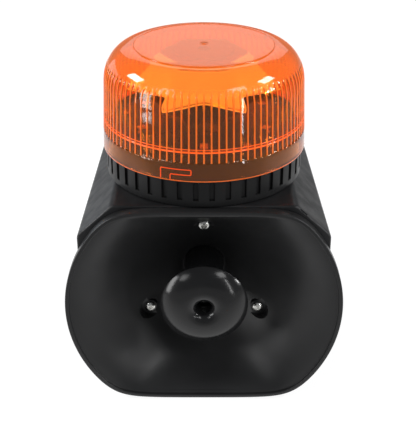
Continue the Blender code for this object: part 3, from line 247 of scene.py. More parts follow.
def turned(profile, origin, facing="up", columns=96, loop=True, glow=None):
    """Turned solid: a profile of (radius, height) carried round the piece's own axis."""
    profile = np.asarray(profile, float)
    grid = rings_at(profile[:, :1], profile[:, 1:], circle(columns))
    if glow is not None:
        glow = np.broadcast_to(np.asarray(glow)[:, None], grid.shape[:2])
    return skin(placed(grid, origin, facing), loop, glow)


def bore(radius, start, end, origin, facing="up", columns=48):
    """Plain round cutter between two heights on its own axis."""
    return turned([(0, start), (radius, start), (radius, end), (0, end)], origin, facing, columns,
                  loop=False)


def tube(path, radius, side, columns=10, glow=0.0):
    """Round bar along a path: circles in the plane of the `side` vectors and their normals."""
    path = np.asarray(path, float)
    along = np.gradient(path, axis=0)
    along /= np.linalg.norm(along, axis=1)[:, None]
    side = np.broadcast_to(np.asarray(side, float), path.shape)
    side = side - along * (side * along).sum(axis=1)[:, None]
    side /= np.linalg.norm(side, axis=1)[:, None]
    other = np.cross(along, side)
    angle = circle(columns)[None, :, None]
    grid = path[:, None] + radius * (np.cos(angle) * side[:, None] + np.sin(angle) * other[:, None])
    return skin(grid, glow=glow)


def block(low, high, edge=0.4, steps=3):
    """A box with rounded edges: a rounded outline swept upwards with its ends drawn in."""
    low, high = np.asarray(low, float), np.asarray(high, float)
    half = (high - low)[:2] / 2
    middle = (high + low)[:2] / 2
    bend = np.linspace(0, np.pi / 2, steps + 1)
    inset = edge * (1 - np.sin(bend))
    rise = edge * (1 - np.cos(bend))
    insets = np.concatenate([inset, inset[::-1]])
    heights = np.concatenate([low[2] + rise, high[2] - rise[::-1]])
    corner = np.array([(-1, -1), (1, -1), (1, 1), (-1, 1)])
    outline = rounded(corner * half, edge, steps)
    unit = outline / np.abs(outline).max(axis=0)
    grid = np.stack([np.stack([outline[:, 0] - unit[:, 0] * inset_here + middle[0],
                               outline[:, 1] - unit[:, 1] * inset_here + middle[1],
                               np.full(len(outline), height)], axis=-1)
                     for inset_here, height in zip(insets, heights)])
    return skin(grid)


def ring_angle(degrees):
    """Angle round the beacon in degrees from the front, + toward +X, as an (x, y) direction."""
    angle = np.radians(degrees)
    return np.stack([np.sin(angle), -np.cos(angle)], axis=-1)


# ---- finishes ----
class Nodes:
    """Short names for building one material's nodes."""

    def __init__(self, name):
        self.material = bpy.data.materials.new(name)
        self.material.use_nodes = True
        self.tree = self.material.node_tree
        self.shader = self.tree.nodes["Principled BSDF"]
        self.coordinates = self.add("ShaderNodeTexCoord")

    def add(self, kind, **settings):
        node = self.tree.nodes.new(kind)
        for key, value in settings.items():
            setattr(node, key, value)
        return node

    def link(self, output, target):
        self.tree.links.new(output, target)

    def clouds(self, size, detail):
        """Soft noise whose lumps are about `size` millimetres."""
        noise = self.add("ShaderNodeTexNoise")
        noise.inputs["Scale"].default_value = 1.0 / (size * MM)
        noise.inputs["Detail"].default_value = detail
        self.link(self.coordinates.outputs["Object"], noise.inputs["Vector"])
        return noise.outputs["Fac"]

    def span(self, value, low, high, first=0.3, last=0.7):
        """The value between first and last is spread over low to high."""
        spread = self.add("ShaderNodeMapRange")
        for key, number in (("From Min", first), ("From Max", last), ("To Min", low),
                            ("To Max", high)):
            spread.inputs[key].default_value = number
        self.link(value, spread.inputs["Value"])
        return spread.outputs["Result"]

    def mix(self, share, first, second):
        """Colour between two, each a colour or an output."""
        blend = self.add("ShaderNodeMix", data_type="RGBA")
        self.link(share, blend.inputs["Factor"])
        for key, colour in ((6, first), (7, second)):
            if isinstance(colour, tuple):
                blend.inputs[key].default_value = (*colour, 1.0)
            else:
                self.link(colour, blend.inputs[key])
        return blend.outputs[2]

    def math(self, operation, first, second):
        """One sum of two values, each a number or an output."""
        node = self.add("ShaderNodeMath", operation=operation)
        for key, value in ((0, first), (1, second)):
            if isinstance(value, (int, float)):
                node.inputs[key].default_value = value
            else:
                self.link(value, node.inputs[key])
        return node.outputs[0]

    def relief(self, height, depth, before=None):
        """Bump of the given depth in millimetres."""
        bump = self.add("ShaderNodeBump")
        bump.inputs["Strength"].default_value = 1.0
        bump.inputs["Distance"].default_value = depth * MM
        self.link(height, bump.inputs["Height"])
        if before is not None:
            self.link(before, bump.inputs["Normal"])
        return bump.outputs["Normal"]

    def put(self, **sockets):
        """Constants and outputs into the shader, by socket name with _ for a space."""
        for key, value in sockets.items():
            socket = self.shader.inputs[key.replace("_", " ")]
            if isinstance(value, bpy.types.NodeSocket):
                self.link(value, socket)
            else:
                socket.default_value = (*value, 1.0) if isinstance(value, tuple) else value
        return self.material


def moulded(name, pale, deep, smoothest, roughest, grain=0.5, depth=0.02, haze=28.0, **sockets):
    """Moulded plastic or rubber: cloudy colour, patchy gloss, fine grain and faint flow waves."""
    made = Nodes(name)
    colour = made.mix(made.span(made.clouds(haze, 4.0), 0.0, 1.0), pale, deep)
    gloss = made.span(made.clouds(haze * 0.35, 5.0), smoothest, roughest)
    waves = made.relief(made.clouds(haze * 0.6, 2.0), depth * 2.5)
    surface = made.relief(made.clouds(grain, 2.0), depth, waves)
    return made.put(Base_Color=colour, Roughness=gloss, Normal=surface, **sockets)


def metal(name, pale, deep, smoothest, roughest, grain=0.3, depth=0.006):
    """Plated or machined metal: tarnish clouds, patchy gloss and fine tool marks."""
    made = Nodes(name)
    colour = made.mix(made.span(made.clouds(2.2, 4.0), 0.0, 1.0), pale, deep)
    gloss = made.span(made.clouds(0.8, 4.0), smoothest, roughest)
    surface = made.relief(made.clouds(grain, 3.0), depth)
    return made.put(Base_Color=colour, Roughness=gloss, Normal=surface, Metallic=1.0)


def amber_plastic():
    """Clear amber with a painted glow: where the glow attribute is set, the colour turns a deeper
    red-orange, the amber grows less clear and the surface emits light. This stands in for light
    that ribs, edges and the thick shoulder catch.
    """
    made = Nodes("lens_amber")
    glow = made.add("ShaderNodeAttribute", attribute_name="glow").outputs["Fac"]
    clear = made.mix(made.clouds(30.0, 2.0), (1.0, 0.37, 0.045), (1.0, 0.33, 0.035))
    # Painted lit colour for the places that carry painted glow.
    painted_glow_colour = made.mix(made.clouds(18.0, 3.0), (0.95, 0.085, 0.010), (0.98, 0.13, 0.015))
    colour = made.mix(glow, clear, painted_glow_colour)
    see_through = made.span(glow, 1.0, 0.15, 0.0, 1.0)
    gloss = made.span(made.clouds(9.0, 4.0), 0.03, 0.07)
    ripples = made.relief(made.clouds(11.0, 2.0), 0.05)
    surface = made.relief(made.clouds(0.9, 2.0), 0.003, ripples)
    # Painted glow: emitted light set by the glow attribute, though the lens is no lamp.
    painted_glow_light = made.span(glow, 0.0, 0.40, 0.0, 1.0)
    return made.put(Base_Color=colour, Roughness=gloss, Normal=surface, IOR=1.49,
                    Transmission_Weight=see_through, Emission_Color=(1.0, 0.20, 0.02),
                    Emission_Strength=painted_glow_light)


def mirror_coat():
    """Vacuum-plated plastic: the glow attribute marks the frosted roof, which is rougher and less
    metallic and carries a painted glow of emitted light.
    """
    made = Nodes("reflector_metal")
    glow = made.add("ShaderNodeAttribute", attribute_name="glow").outputs["Fac"]
    colour = made.mix(made.span(made.clouds(2.2, 4.0), 0.0, 1.0), (0.93, 0.90, 0.84),
                      (0.86, 0.82, 0.74))
    shiny = made.span(made.clouds(0.8, 4.0), 0.10, 0.20)
    surface = made.relief(made.clouds(1.2, 3.0), 0.004)
    # The glow attribute makes the roof rougher and less metallic, and gives it a painted glow:
    # emission, though it is no lamp.
    return made.put(Base_Color=colour, Normal=surface,
                    Metallic=made.span(glow, 1.0, 0.1, 0.0, 1.0),
                    Roughness=made.math("MAXIMUM", shiny, made.math("MULTIPLY", glow, 0.5)),
                    Emission_Color=(1.0, 0.93, 0.80),
                    Emission_Strength=made.span(glow, 0.0, 0.75, 0.0, 1.0))


def circuit_laminate(name, mask, copper, pitch):
    """Board under solder mask: copper tracks show as a maze of lighter stripes."""
    made = Nodes(name)
    stripes = made.add("ShaderNodeTexBrick")
    stripes.inputs["Scale"].default_value = 1.0 / (pitch * MM)
    stripes.inputs["Mortar Size"].default_value = 0.06
    stripes.inputs["Color1"].default_value = (0, 0, 0, 1)
    stripes.inputs["Color2"].default_value = (0.15, 0.15, 0.15, 1)
    stripes.inputs["Mortar"].default_value = (1, 1, 1, 1)
    turn = made.add("ShaderNodeMapping")
    turn.inputs["Rotation"].default_value = (np.pi / 2, 0, 0)
    made.link(made.coordinates.outputs["Object"], turn.inputs["Vector"])
    made.link(turn.outputs["Vector"], stripes.inputs["Vector"])
    colour = made.mix(stripes.outputs["Color"], mask, copper)
    gloss = made.span(made.clouds(6.0, 4.0), 0.25, 0.45)
    surface = made.relief(stripes.outputs["Fac"], 0.035)
    return made.put(Base_Color=colour, Roughness=gloss, Normal=surface)


BODY = moulded("body_plastic", (0.012, 0.0125, 0.0135), (0.008, 0.0082, 0.009), 0.34, 0.50,
               grain=0.45, depth=0.03, Specular_IOR_Level=0.4)
HORN = moulded("horn_plastic", (0.017, 0.0172, 0.0178), (0.012, 0.012, 0.0125), 0.32, 0.40,
               grain=0.6, depth=0.012, haze=40.0, Specular_IOR_Level=0.32)
RING = moulded("ring_plastic", (0.012, 0.0122, 0.0125), (0.008, 0.008, 0.0085), 0.36, 0.5,
               grain=0.4, depth=0.03, Specular_IOR_Level=0.2)
CAP = moulded("cap_plastic", (0.013, 0.013, 0.0135), (0.009, 0.009, 0.0095), 0.14, 0.22,
              grain=1.6, depth=0.004, Specular_IOR_Level=0.36)
AMBER = amber_plastic()
STEEL = metal("steel", (0.80, 0.80, 0.78), (0.58, 0.57, 0.53), 0.14, 0.34)
BRASS = metal("brass", (0.80, 0.58, 0.24), (0.62, 0.42, 0.16), 0.22, 0.42)
RUBBER = moulded("rubber", (0.028, 0.028, 0.029), (0.018, 0.018, 0.018), 0.65, 0.85, grain=0.3,
                 depth=0.02)
MAGNET = moulded("magnet", (0.055, 0.055, 0.06), (0.035, 0.034, 0.036), 0.45, 0.7, grain=0.8,
                 depth=0.03, Metallic=0.35)
FILM = moulded("diaphragm_film", (0.62, 0.48, 0.24), (0.50, 0.37, 0.17), 0.3, 0.5, grain=0.7,
               depth=0.02)
MIRROR = mirror_coat()
PLATE = moulded("reflector_plate", (0.80, 0.79, 0.77), (0.70, 0.69, 0.67), 0.25, 0.4, grain=0.8,
                depth=0.01, haze=9.0)
LED_BOARD = circuit_laminate("led_board", (0.007, 0.007, 0.007), (0.016, 0.016, 0.016), 4.0)
LED = moulded("led", (0.95, 0.80, 0.25), (0.90, 0.62, 0.12), 0.08, 0.16, grain=0.3, depth=0.01,
              haze=1.2, Coat_Weight=0.8, Coat_Roughness=0.04)
CIRCUIT = circuit_laminate("circuit_board", (0.010, 0.110, 0.035), (0.03, 0.24, 0.08), 6.0)
TERMINAL = moulded("terminal_plastic", (0.05, 0.30, 0.12), (0.035, 0.22, 0.085), 0.35, 0.5)
SLEEVE = moulded("capacitor_sleeve", (0.02, 0.03, 0.11), (0.012, 0.018, 0.07), 0.2, 0.35,
                 grain=0.9, depth=0.01)
TAPE = moulded("transformer_tape", (0.62, 0.46, 0.06), (0.50, 0.34, 0.04), 0.25, 0.4, grain=1.4,
               depth=0.02)
FINISHES = {material.name: material for material in (
    BODY, HORN, RING, CAP, AMBER, STEEL, BRASS, RUBBER, MAGNET, FILM, MIRROR, PLATE, LED_BOARD,
    LED, CIRCUIT, TERMINAL, SLEEVE, TAPE)}


def dress_packed_nodes():
    """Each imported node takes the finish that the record's slot for it calls for."""
    for row in frame["record"]["subparts"]:
        for material_slot in frame["nodes"][row["node"]].material_slots:
            material_slot.material = FINISHES[row["material_slot"]]


# ---- horn ----
HORN_COLUMNS = 320
BELL_BEZIER = np.array([(15.0, -9.6), (42.0, -27.5), (66.0, -63.0), (86.6, -68.1)])
HORN_REAR_Y = -8.3
HORN_SCREWS = ("horn_screw_top", "horn_screw_left", "horn_screw_right")
SPOTFACE = 7.0
RIM_FLAT = 19.0  # how far the rim's flats lie inside its round sides
THROAT_RADIUS = 13.8
POST = 4.6


def flat_round(radius, half_height, sharpness, angle):
    """Reach of a circle cut flat above and below.

    It is the soft minimum of the radius and of half height over the sine of the angle:
    (radius^-p + (half height / |sine|)^-p)^(-1/p), where p is the sharpness.
    """
    flat = half_height / np.maximum(np.abs(np.sin(angle)), 0.001)
    return (radius ** -sharpness + flat ** -sharpness) ** (-1.0 / sharpness)


def bell_half_height(radius):
    """The bell is round at its throat and grows flatter toward its mouth."""
    return 35.1 + 0.37529 * radius


def bell_curve(count):
    """Cubic curve of (radius, y) from the throat to the mouth."""
    t = np.linspace(0, 1, count)[:, None]
    weights = np.hstack([(1 - t) ** 3, 3 * t * (1 - t) ** 2, 3 * t * t * (1 - t), t ** 3])
    return weights @ BELL_BEZIER


def bell_sharpness(radius):
    """The corners of the section grow a little tighter toward the mouth."""
    return 12.0 + 6.0 * smooth_step((radius - 50.0) / 36.6)


def bell_surface_y(x, z):
    """Depth of the bell at a point seen from the front: the section through it is bisected."""
    reach, angle = np.hypot(x, z), np.arctan2(z, x)
    low, high = np.full_like(reach, 10.0), np.full_like(reach, 130.0)
    for _ in range(40):
        middle = (low + high) / 2
        inside = flat_round(middle, bell_half_height(middle), bell_sharpness(middle),
                            angle) < reach
        low, high = np.where(inside, middle, low), np.where(inside, high, middle)
    curve = bell_curve(400)
    return np.interp(low, curve[:, 0], curve[:, 1])


def horn_rows():
    """(radius, y, half height, sharpness) of each loop of the horn, once round its section."""
    bell = bell_curve(44)
    slope = np.gradient(bell, axis=0)
    slope /= np.linalg.norm(slope, axis=1)[:, None]
    back = bell + np.stack([-slope[:, 1], slope[:, 0]], axis=-1) * 2.5
    back = back[(back[:, 0] < 75.0) & (back[:, 1] < HORN_REAR_Y)][::-2]
    rim = [(87.2, -68.3), (87.5, -70.3), (HORN_RADIUS, -70.3), (HORN_RADIUS, -62.8),
           (76.5, -62.8), (76.5, -61.6)]
    hole = [(24.6, HORN_REAR_Y), (THROAT_RADIUS, HORN_REAR_Y), (THROAT_RADIUS, -9.4)]
    profile = np.vstack([bell, rim, back, hole])
    return rounded(profile, 0.7, steps=3)


def make_horn():
    """Flared bell with a flat-topped rim, its back wall, and the three screw seats."""
    rows = horn_rows()
    radius, y = rows[:, :1], rows[:, 1:]
    rim = smooth_step((radius - 84.0) / 3.0)
    half = bell_half_height(radius) * (1 - rim) + (radius - RIM_FLAT) * rim
    angle = circle(HORN_COLUMNS) + TURN / HORN_COLUMNS / 2
    reach = flat_round(radius, half, bell_sharpness(radius), angle)
    reach = np.where(radius < 22.0, radius, reach)
    grid = np.stack([reach * np.cos(angle), np.broadcast_to(y, reach.shape),
                     AXIS_Z + reach * np.sin(angle)], axis=-1)
    cutters = []
    for name in HORN_SCREWS:
        x, _, z = centre(name)
        cutters.append(bore(SPOTFACE, -26, 30, (x, -40.0, z), "front", 64))
    piece("horn_bell", [skin(grid, loop=True)], HORN, nodes=("horn",),
          cutters=cutters, angle=35.0)
    piece("horn_screw_seats", [screw_seat(name) for name in HORN_SCREWS], HORN, angle=35.0)


def screw_seat(name):
    """A post and spotface sunk in the bell, as rings of points round the screw.

    Inside the spotface the surface is the bell or the seat, whichever lies deeper, but the post
    always comes up to the seat.  Its wall then climbs to the bell's surface.
    """
    low, high = corners(name)
    x, z = (low[0] + high[0]) / 2, (low[2] + high[2]) / 2
    seat = low[1] + 2.6
    angle = circle(72)
    direction = np.stack([np.cos(angle), np.sin(angle)], axis=-1)

    def bell_at(radius):
        return bell_surface_y(x + radius * direction[:, 0], z - AXIS_Z + radius * direction[:, 1])

    def ring(radius, depth):
        return np.stack([x + radius * direction[:, 0], depth * np.ones(len(angle)),
                         z + radius * direction[:, 1]], axis=-1)

    floor = [np.maximum(bell_at(radius), seat) for radius in (POST, 5.2, 6.0, SPOTFACE)]
    rings = [ring(2.1, seat + 8.0), ring(2.1, seat + 0.3), ring(2.4, seat),
             ring(POST - 0.3, seat), ring(POST, seat + 0.3), ring(POST, floor[0]),
             ring(5.2, floor[1]), ring(6.0, floor[2]), ring(SPOTFACE - 0.05, floor[3]),
             ring(SPOTFACE - 0.05, np.minimum(bell_at(SPOTFACE), floor[3])),
             ring(SPOTFACE + 1.2, bell_at(SPOTFACE + 1.2) + 0.25),
             ring(SPOTFACE + 1.2, np.maximum(bell_at(SPOTFACE + 1.2), seat) + 2.5),
             ring(POST + 1.0, np.maximum(floor[1], seat) + 3.0),
             ring(POST, seat + 12.0)]
    return skin(np.stack(rings), loop=True)


def dome_arc(start, end, top, bottom, count):
    """Points of a circular arc, level at (start, top), that falls to (end, bottom)."""
    sweep = 2 * np.arctan2(top - bottom, end - start)
    angle = np.linspace(0, sweep, count)
    return np.stack([start + (end - start) * np.sin(angle) / np.sin(sweep),
                     top - (top - bottom) * (1 - np.cos(angle)) / (1 - np.cos(sweep))], axis=-1)


def make_centre_cap():
    """Glossy domed cap: a dome, a trumpet-shaped funnel on its axis, a stem and an inner wall."""
    front = -corners("centre_cap")[0][1]
    rear, rim, flat, rim_radius = 61.6, 64.0, 12.0, 28.8
    roll = np.linspace(0, np.pi / 2, 16)[:, None]
    funnel = np.hstack([flat - 7.1 * np.cos(roll), front - 6.0 + 6.0 * np.sin(roll)])
    dome = dome_arc(flat, rim_radius, front, rim, 26)[1:]
    inside = dome_arc(flat, rim_radius - 2.2, front - 2.2, rear, 12)[::-1]
    profile = np.vstack([[(2.2, 54.5), (4.9, 54.5)], funnel, dome, [(28.2, rear)], inside,
                         [(7.1, front - 6.0), (7.1, 52.3), (2.2, 52.3)]])
    piece("cap_dome", [turned(rounded(profile, 0.6, 4), (0, 0, AXIS_Z), "front", 160)], CAP,
          nodes=("centre_cap",), angle=40.0)


# ---- screws ----
def pan_screw(node, facing, head_radius=3.5, head_height=2.3, shank=1.9):
    """Pan-head screw: a domed head with a cross recess, a threaded shank and a blunt point.

    The recess is deepest at the middle; its depth falls to nothing where the nearer of two
    crossed bars ends.  The thread is a wave that climbs one pitch in each turn.
    """
    low, high = corners(node)
    axis = FACINGS[facing][:, 2]
    length = abs(axis @ (high - low))
    seat = centre(node) + axis * (length / 2 - head_height)
    shank_length = length - head_height
    columns = 64
    angle = circle(columns)
    share = np.linspace(0, 1, 22)[:, None]
    radius = head_radius * share * 0.97
    x, y = radius * np.cos(angle), radius * np.sin(angle)
    dome = head_height * (1 - 0.42 * share ** 2.6) * np.ones(columns)
    arm = head_radius * 0.13
    bars = np.minimum(np.maximum(np.abs(x) - arm, np.abs(y) - head_radius * 0.56),
                      np.maximum(np.abs(y) - arm, np.abs(x) - head_radius * 0.56))
    depth = smooth_step(-bars / (head_radius * 0.07) + 0.5) * head_height * 0.5
    depth *= 1 - 0.5 * smooth_step(share / 0.6)
    top = np.stack([x, y, dome - depth], axis=-1)
    side = np.array([(head_radius, head_height * 0.5), (head_radius, head_height * 0.15),
                     (head_radius * 0.96, 0.0), (shank, 0.0)])
    pitch = shank * 0.36
    climbs = np.arange(0.2, shank_length - shank, pitch / 4)[:, None]
    wave = 0.5 - 0.5 * np.cos(TURN * (climbs / pitch) + angle)
    thread_radius = shank - shank * 0.16 * wave
    thread = rings_at(thread_radius, -climbs, angle)
    point = np.array([(shank * 0.8, -shank_length + shank * 0.8), (shank * 0.45, -shank_length),
                      (0.0, -shank_length)])
    grid = np.concatenate([top, rings_at(side[:, :1], side[:, 1:], angle), thread,
                           rings_at(point[:, :1], point[:, 1:], angle)])
    piece(node + "_finished", [skin(placed(grid, seat, facing))], STEEL, nodes=(node,),
          angle=40.0)


def make_screws():
    """Every screw, with its heads outward."""
    for node in HORN_SCREWS + ("cap_screw",):
        pan_screw(node, "front")
    for number in range(1, 5):
        pan_screw(f"rear_screw_{number}", "rear")
        pan_screw(f"control_screw_{number}", "front", 2.8, 1.8, 1.4)
    for number in range(1, 4):
        pan_screw(f"beacon_screw_{number}", "up")
        pan_screw(f"led_board_screw_{number}", "up", 2.8, 1.8, 1.4)
        pan_screw(f"driver_screw_{number}", "front", 2.8, 1.8, 1.4)
    pan_screw("reflector_screw", "up")


# ---- beacon ----
RING_RADIUS = 64.7
RING_SLOTS = 40
NECK_RADIUS = 63.8
SKIRT_INNER = 64.1
RING_TOP = LENS_FOOT - 0.3
SLOT_TURNS = (0.0, 120.0, 240.0)
LUG_FROM, LUG_TO = -12.0, -7.3  # degrees
LUG_LOW, LUG_HIGH = 165.05, 167.65


def around(radius, height, degrees):
    """Points round the beacon's axis, the angle in degrees from the front."""
    direction = ring_angle(degrees)
    return np.concatenate([np.asarray(radius)[..., None] * direction,
                           np.broadcast_to(height, np.shape(radius))[..., None]], axis=-1)


def make_base_ring():
    """Black foot ring with grip slots, the neck above it, a floor, three lugs and three posts.

    Column angles crowd at the slots' edges.  The outer radius drops by the slot's depth where
    the column is inside a slot and the row is between the slot's ends.
    """
    low, top, neck_top = RING_LOW[2], RING_TOP, RING_HIGH[2]
    part = np.array([0.0, 0.09, 0.158, 0.178, 0.24, 0.32, 0.41, 0.5, 0.59, 0.68, 0.76, 0.822,
                     0.842, 0.91])
    share = (np.arange(RING_SLOTS)[:, None] + part).reshape(-1)
    degrees = 360.0 * (share + 0.5) / RING_SLOTS
    in_slot = (np.minimum(share % 1, 1 - share % 1) < 0.17).astype(float)
    profile = rounded([(60.8, neck_top), (NECK_RADIUS, neck_top), (NECK_RADIUS, top),
                       (RING_RADIUS, top), (RING_RADIUS, top - 1.0), (RING_RADIUS, top - 1.3),
                       (RING_RADIUS, top - 13.2), (RING_RADIUS, top - 13.5), (RING_RADIUS, low),
                       (10.0, low), (10.0, low + 3.0), (60.8, low + 3.0)], 0.5, 3)
    radius, height = profile[:, :1], profile[:, 1:]
    slot_rows = ((radius > RING_RADIUS - 0.01) & (height < top - 1.2)
                 & (height > top - 13.4)).astype(float)
    grid = around(radius - 1.5 * slot_rows * in_slot, height, degrees)
    skins = [skin(grid, loop=True)]
    for turn in SLOT_TURNS:
        span = np.linspace(LUG_FROM + turn, LUG_TO + turn, 9)
        section = rounded([(NECK_RADIUS - 1.0, LUG_LOW), (RING_RADIUS, LUG_LOW),
                           (RING_RADIUS, LUG_HIGH), (NECK_RADIUS - 1.0, LUG_HIGH)], 0.5, 3)
        skins.append(skin(np.stack([around(section[:, 0], section[:, 1], np.full(
            len(section), angle)) for angle in span])))
    for degrees_here in (30.0, 150.0, 270.0):
        place = around(np.array(52.0), 0.0, degrees_here)
        skins.append(turned(rounded([(1.6, low + 1.5), (4.2, low + 1.5), (4.0, 175.1),
                                     (1.6, 175.1)], 0.4, 3), place, columns=40))
    piece("beacon_base", skins, RING, nodes=("base_ring",), angle=35.0)


FOOT_RADIUS, TAPER = 66.9, 1.9
WALL_TOP, SHOULDER_RISE = 42.0, 23.7
BULGE = 2.15  # 2 would make the shoulder an ellipse


def lens_outer_radius(height):
    """Outer radius of the dome: near-straight wall, then a rounded shoulder.

    Above the shoulder's start the radius is 46 plus 19 times the p-th root of
    1 - rise^p, with p a little over 2.
    """
    wall = FOOT_RADIUS - TAPER * np.clip(height / WALL_TOP, 0, 1)
    rise = np.clip((height - WALL_TOP) / SHOULDER_RISE, 0, 1)
    shoulder = 46.0 + 19.0 * (1 - rise ** BULGE) ** (1 / BULGE)
    return np.where(height > WALL_TOP, shoulder, wall)


# A bayonet slot, seen from outside: degrees from its turn, and heights above the lens's foot.
ENTRY_FROM, ENTRY_TO, SLOT_END = -24.0, -18.5, -6.9
RUN_LOW, RUN_HIGH = 3.9, 7.4


def in_slot_shape(degrees, height):
    """True where a bayonet slot is: an entry up from the foot and a run to its end stop."""
    found = np.zeros(np.broadcast(degrees, height).shape, bool)
    for turn in SLOT_TURNS:
        angle = (degrees - turn + 180.0) % 360.0 - 180.0
        found |= (angle > ENTRY_FROM) & (angle < ENTRY_TO) & (height < RUN_HIGH - 1.0)
        found |= ((angle > ENTRY_FROM) & (angle < SLOT_END)
                  & (height > RUN_LOW) & (height < RUN_HIGH))
    return found


FLUTES = 90
FLUTE_LOW, FLUTE_HIGH = 12.3, 56.0


def make_lens():
    """Amber dome with 90 flutes between narrow ribs, a flat top and a smooth bayonet skirt.

    The flutes lower the outer surface: their depth is a soft step across each pitch, times a
    soft step at each end, whose upper end is round.  Ribs, edges and the thick shoulder carry a
    painted glow, which the finish shows as emitted light and a deeper, less clear colour.
    """
    part = np.array([0.0, 0.085, 0.145, 0.3, 0.5, 0.7, 0.855, 0.915])
    share = (np.arange(FLUTES)[:, None] + part).reshape(-1)
    degrees = 360.0 * share / FLUTES
    pitch = share % 1
    from_rib = np.minimum(pitch, 1 - pitch)
    groove = smooth_step((from_rib - 0.09) / 0.05)
    top, ceiling = LENS_HEIGHT, LENS_HEIGHT - 3.3
    crown = np.array([(0, top + 0.25), (0.9, top + 0.25), (1.3, top), (4, top), (16, top),
                      (30, top), (40, top), (44.4, top), (44.9, top - 0.08), (45.2, top - 0.4),
                      (45.3, top - 0.68), (45.6, top - 0.72)])
    rise = np.sin(np.linspace(np.pi / 2, 0, 160)) ** (2 / BULGE)
    shoulder_height = WALL_TOP + SHOULDER_RISE * rise
    shoulder = evenly(np.stack([lens_outer_radius(shoulder_height), shoulder_height], -1), 1.15)
    wall_height = np.array([38, 32, 26, 21, 17, 14.2, 13.4, 12.9, 12.5, 12.1, 11.6, 10, 6, 3,
                            1.2, 0.9, 0.5, 0.2, 0.0])
    wall = np.stack([lens_outer_radius(wall_height), wall_height], axis=-1)
    wall[-2:, 0] -= (0.08, 0.35)
    outer = np.vstack([crown, shoulder, wall])
    skirt = [(SKIRT_INNER, up) for up in (0.3, 1.5, 3.8, 4.0, 5.5, 7.3, 7.5, 10.0, 14.0, 18.8)]
    inner_low = np.array([(SKIRT_INNER + 0.3, 0.0), *skirt, (SKIRT_INNER - 0.2, 19.0),
                          (61.9, 19.0), (61.7, 19.2), (62.0, 28.0)])
    bend = np.linspace(0, np.pi / 2, 15)[:, None]
    inner_top = np.hstack([44.7 + 17.7 * np.cos(bend) ** (2 / BULGE),
                           WALL_TOP + (ceiling - WALL_TOP) * np.sin(bend) ** (2 / BULGE)])
    inner = np.vstack([inner_low, inner_top, [(30.0, ceiling), (0.0, ceiling)]])
    outer_radius, outer_height = outer[:, :1], outer[:, 1:]
    round_end = 3.2 * (1 - np.sqrt(np.clip(1 - ((pitch - 0.5) / 0.40) ** 2, 0, 1)))
    window = (smooth_step((FLUTE_HIGH - round_end - outer_height) / 1.2)
              * smooth_step((outer_height - FLUTE_LOW) / 0.8 + 0.5))
    outer_grid = around(outer_radius - 0.6 * groove * window, outer_height, degrees)
    # Painted glow on the ribs, the shoulder above the flutes, the foot's edge and the top disc's
    # step, and a faint painted glow everywhere else.
    rib_glow = 0.72 * (1 - groove) * (smooth_step((FLUTE_HIGH + 4 - outer_height) / 6.0)
                                      * smooth_step((outer_height - FLUTE_LOW) / 0.5 + 0.5))
    painted_shoulder_glow = 0.42 * smooth_step((outer_height - 50.0) / 9.0) * (1 - window)
    foot = 0.55 * (outer_height < 0.55)
    step = 0.30 * ((outer_radius > 44.6) & (outer_radius < 46.5) & (outer_height > 60.0))
    outer_glow = np.maximum(np.maximum(rib_glow, painted_shoulder_glow), np.maximum(np.maximum(foot, step), 0.05))
    inner_radius, inner_height = inner[:, :1], inner[:, 1:]
    pocket = in_slot_shape(degrees, inner_height) & (inner_height < 12.0)
    inner_grid = around(inner_radius + 0.9 * pocket, inner_height, degrees)
    grid = np.concatenate([outer_grid, inner_grid])
    glow = np.concatenate([outer_glow, np.zeros(inner_grid.shape[:2])])
    grid[..., 2] += LENS_FOOT
    skins = [skin(grid, glow=glow)]
    skins += [shelf_bead(65.2, 18.9, 0.5), shelf_bead(65.4, 20.9, 0.22)]
    skins += [slot_outline(turn) for turn in SLOT_TURNS]
    piece("lens_dome", skins, AMBER, "lens", ("lens",), angle=50.0)


def shelf_bead(radius, height, size):
    """A fine bead inside the wall where the seal's shelf begins, as one closed ring with a full
    painted glow.
    """
    angle = circle(16)
    section = np.stack([radius + size * np.cos(angle), height + size * np.sin(angle)], axis=-1)
    return turned(section, (0, 0, LENS_FOOT), columns=240, glow=np.full(16, 1.0))


def slot_outline(turn):
    """A fine bar along one bayonet slot's J-shaped outline, with a full painted glow standing in
    for the light on the slot's wall.
    """
    outline = rounded([(ENTRY_FROM, 0.4), (ENTRY_FROM, RUN_HIGH), (SLOT_END, RUN_HIGH),
                       (SLOT_END, RUN_LOW), (ENTRY_TO, RUN_LOW), (ENTRY_TO, 0.4)], 0.9, 5,
                      closed=False)
    path = evenly(outline, 0.35)
    points = around(np.full(len(path), 64.9), LENS_FOOT + path[:, 1], path[:, 0] + turn)
    outward = points * np.array([1, 1, 0])
    return tube(points, 0.32, outward, glow=1.0)


# Reach of the reflector's cusps and of the middles of its lobes, at its edge and its roof's top.
CUSP, WAIST = 50.0, 29.0
ROOF_CUSP, ROOF_WAIST = 30.0, 26.0
SCOOP_HEIGHT = 20.0


def lobed(radius, waist, height, columns=264):
    """A six-lobed ring: the radius less its waist share times the sine across each lobe."""
    share = 6.0 * np.arange(columns) / columns
    reach = radius - (radius - waist) * np.sin(np.pi * (share % 1))
    return around(reach, height, 60.0 * share + 30.0)


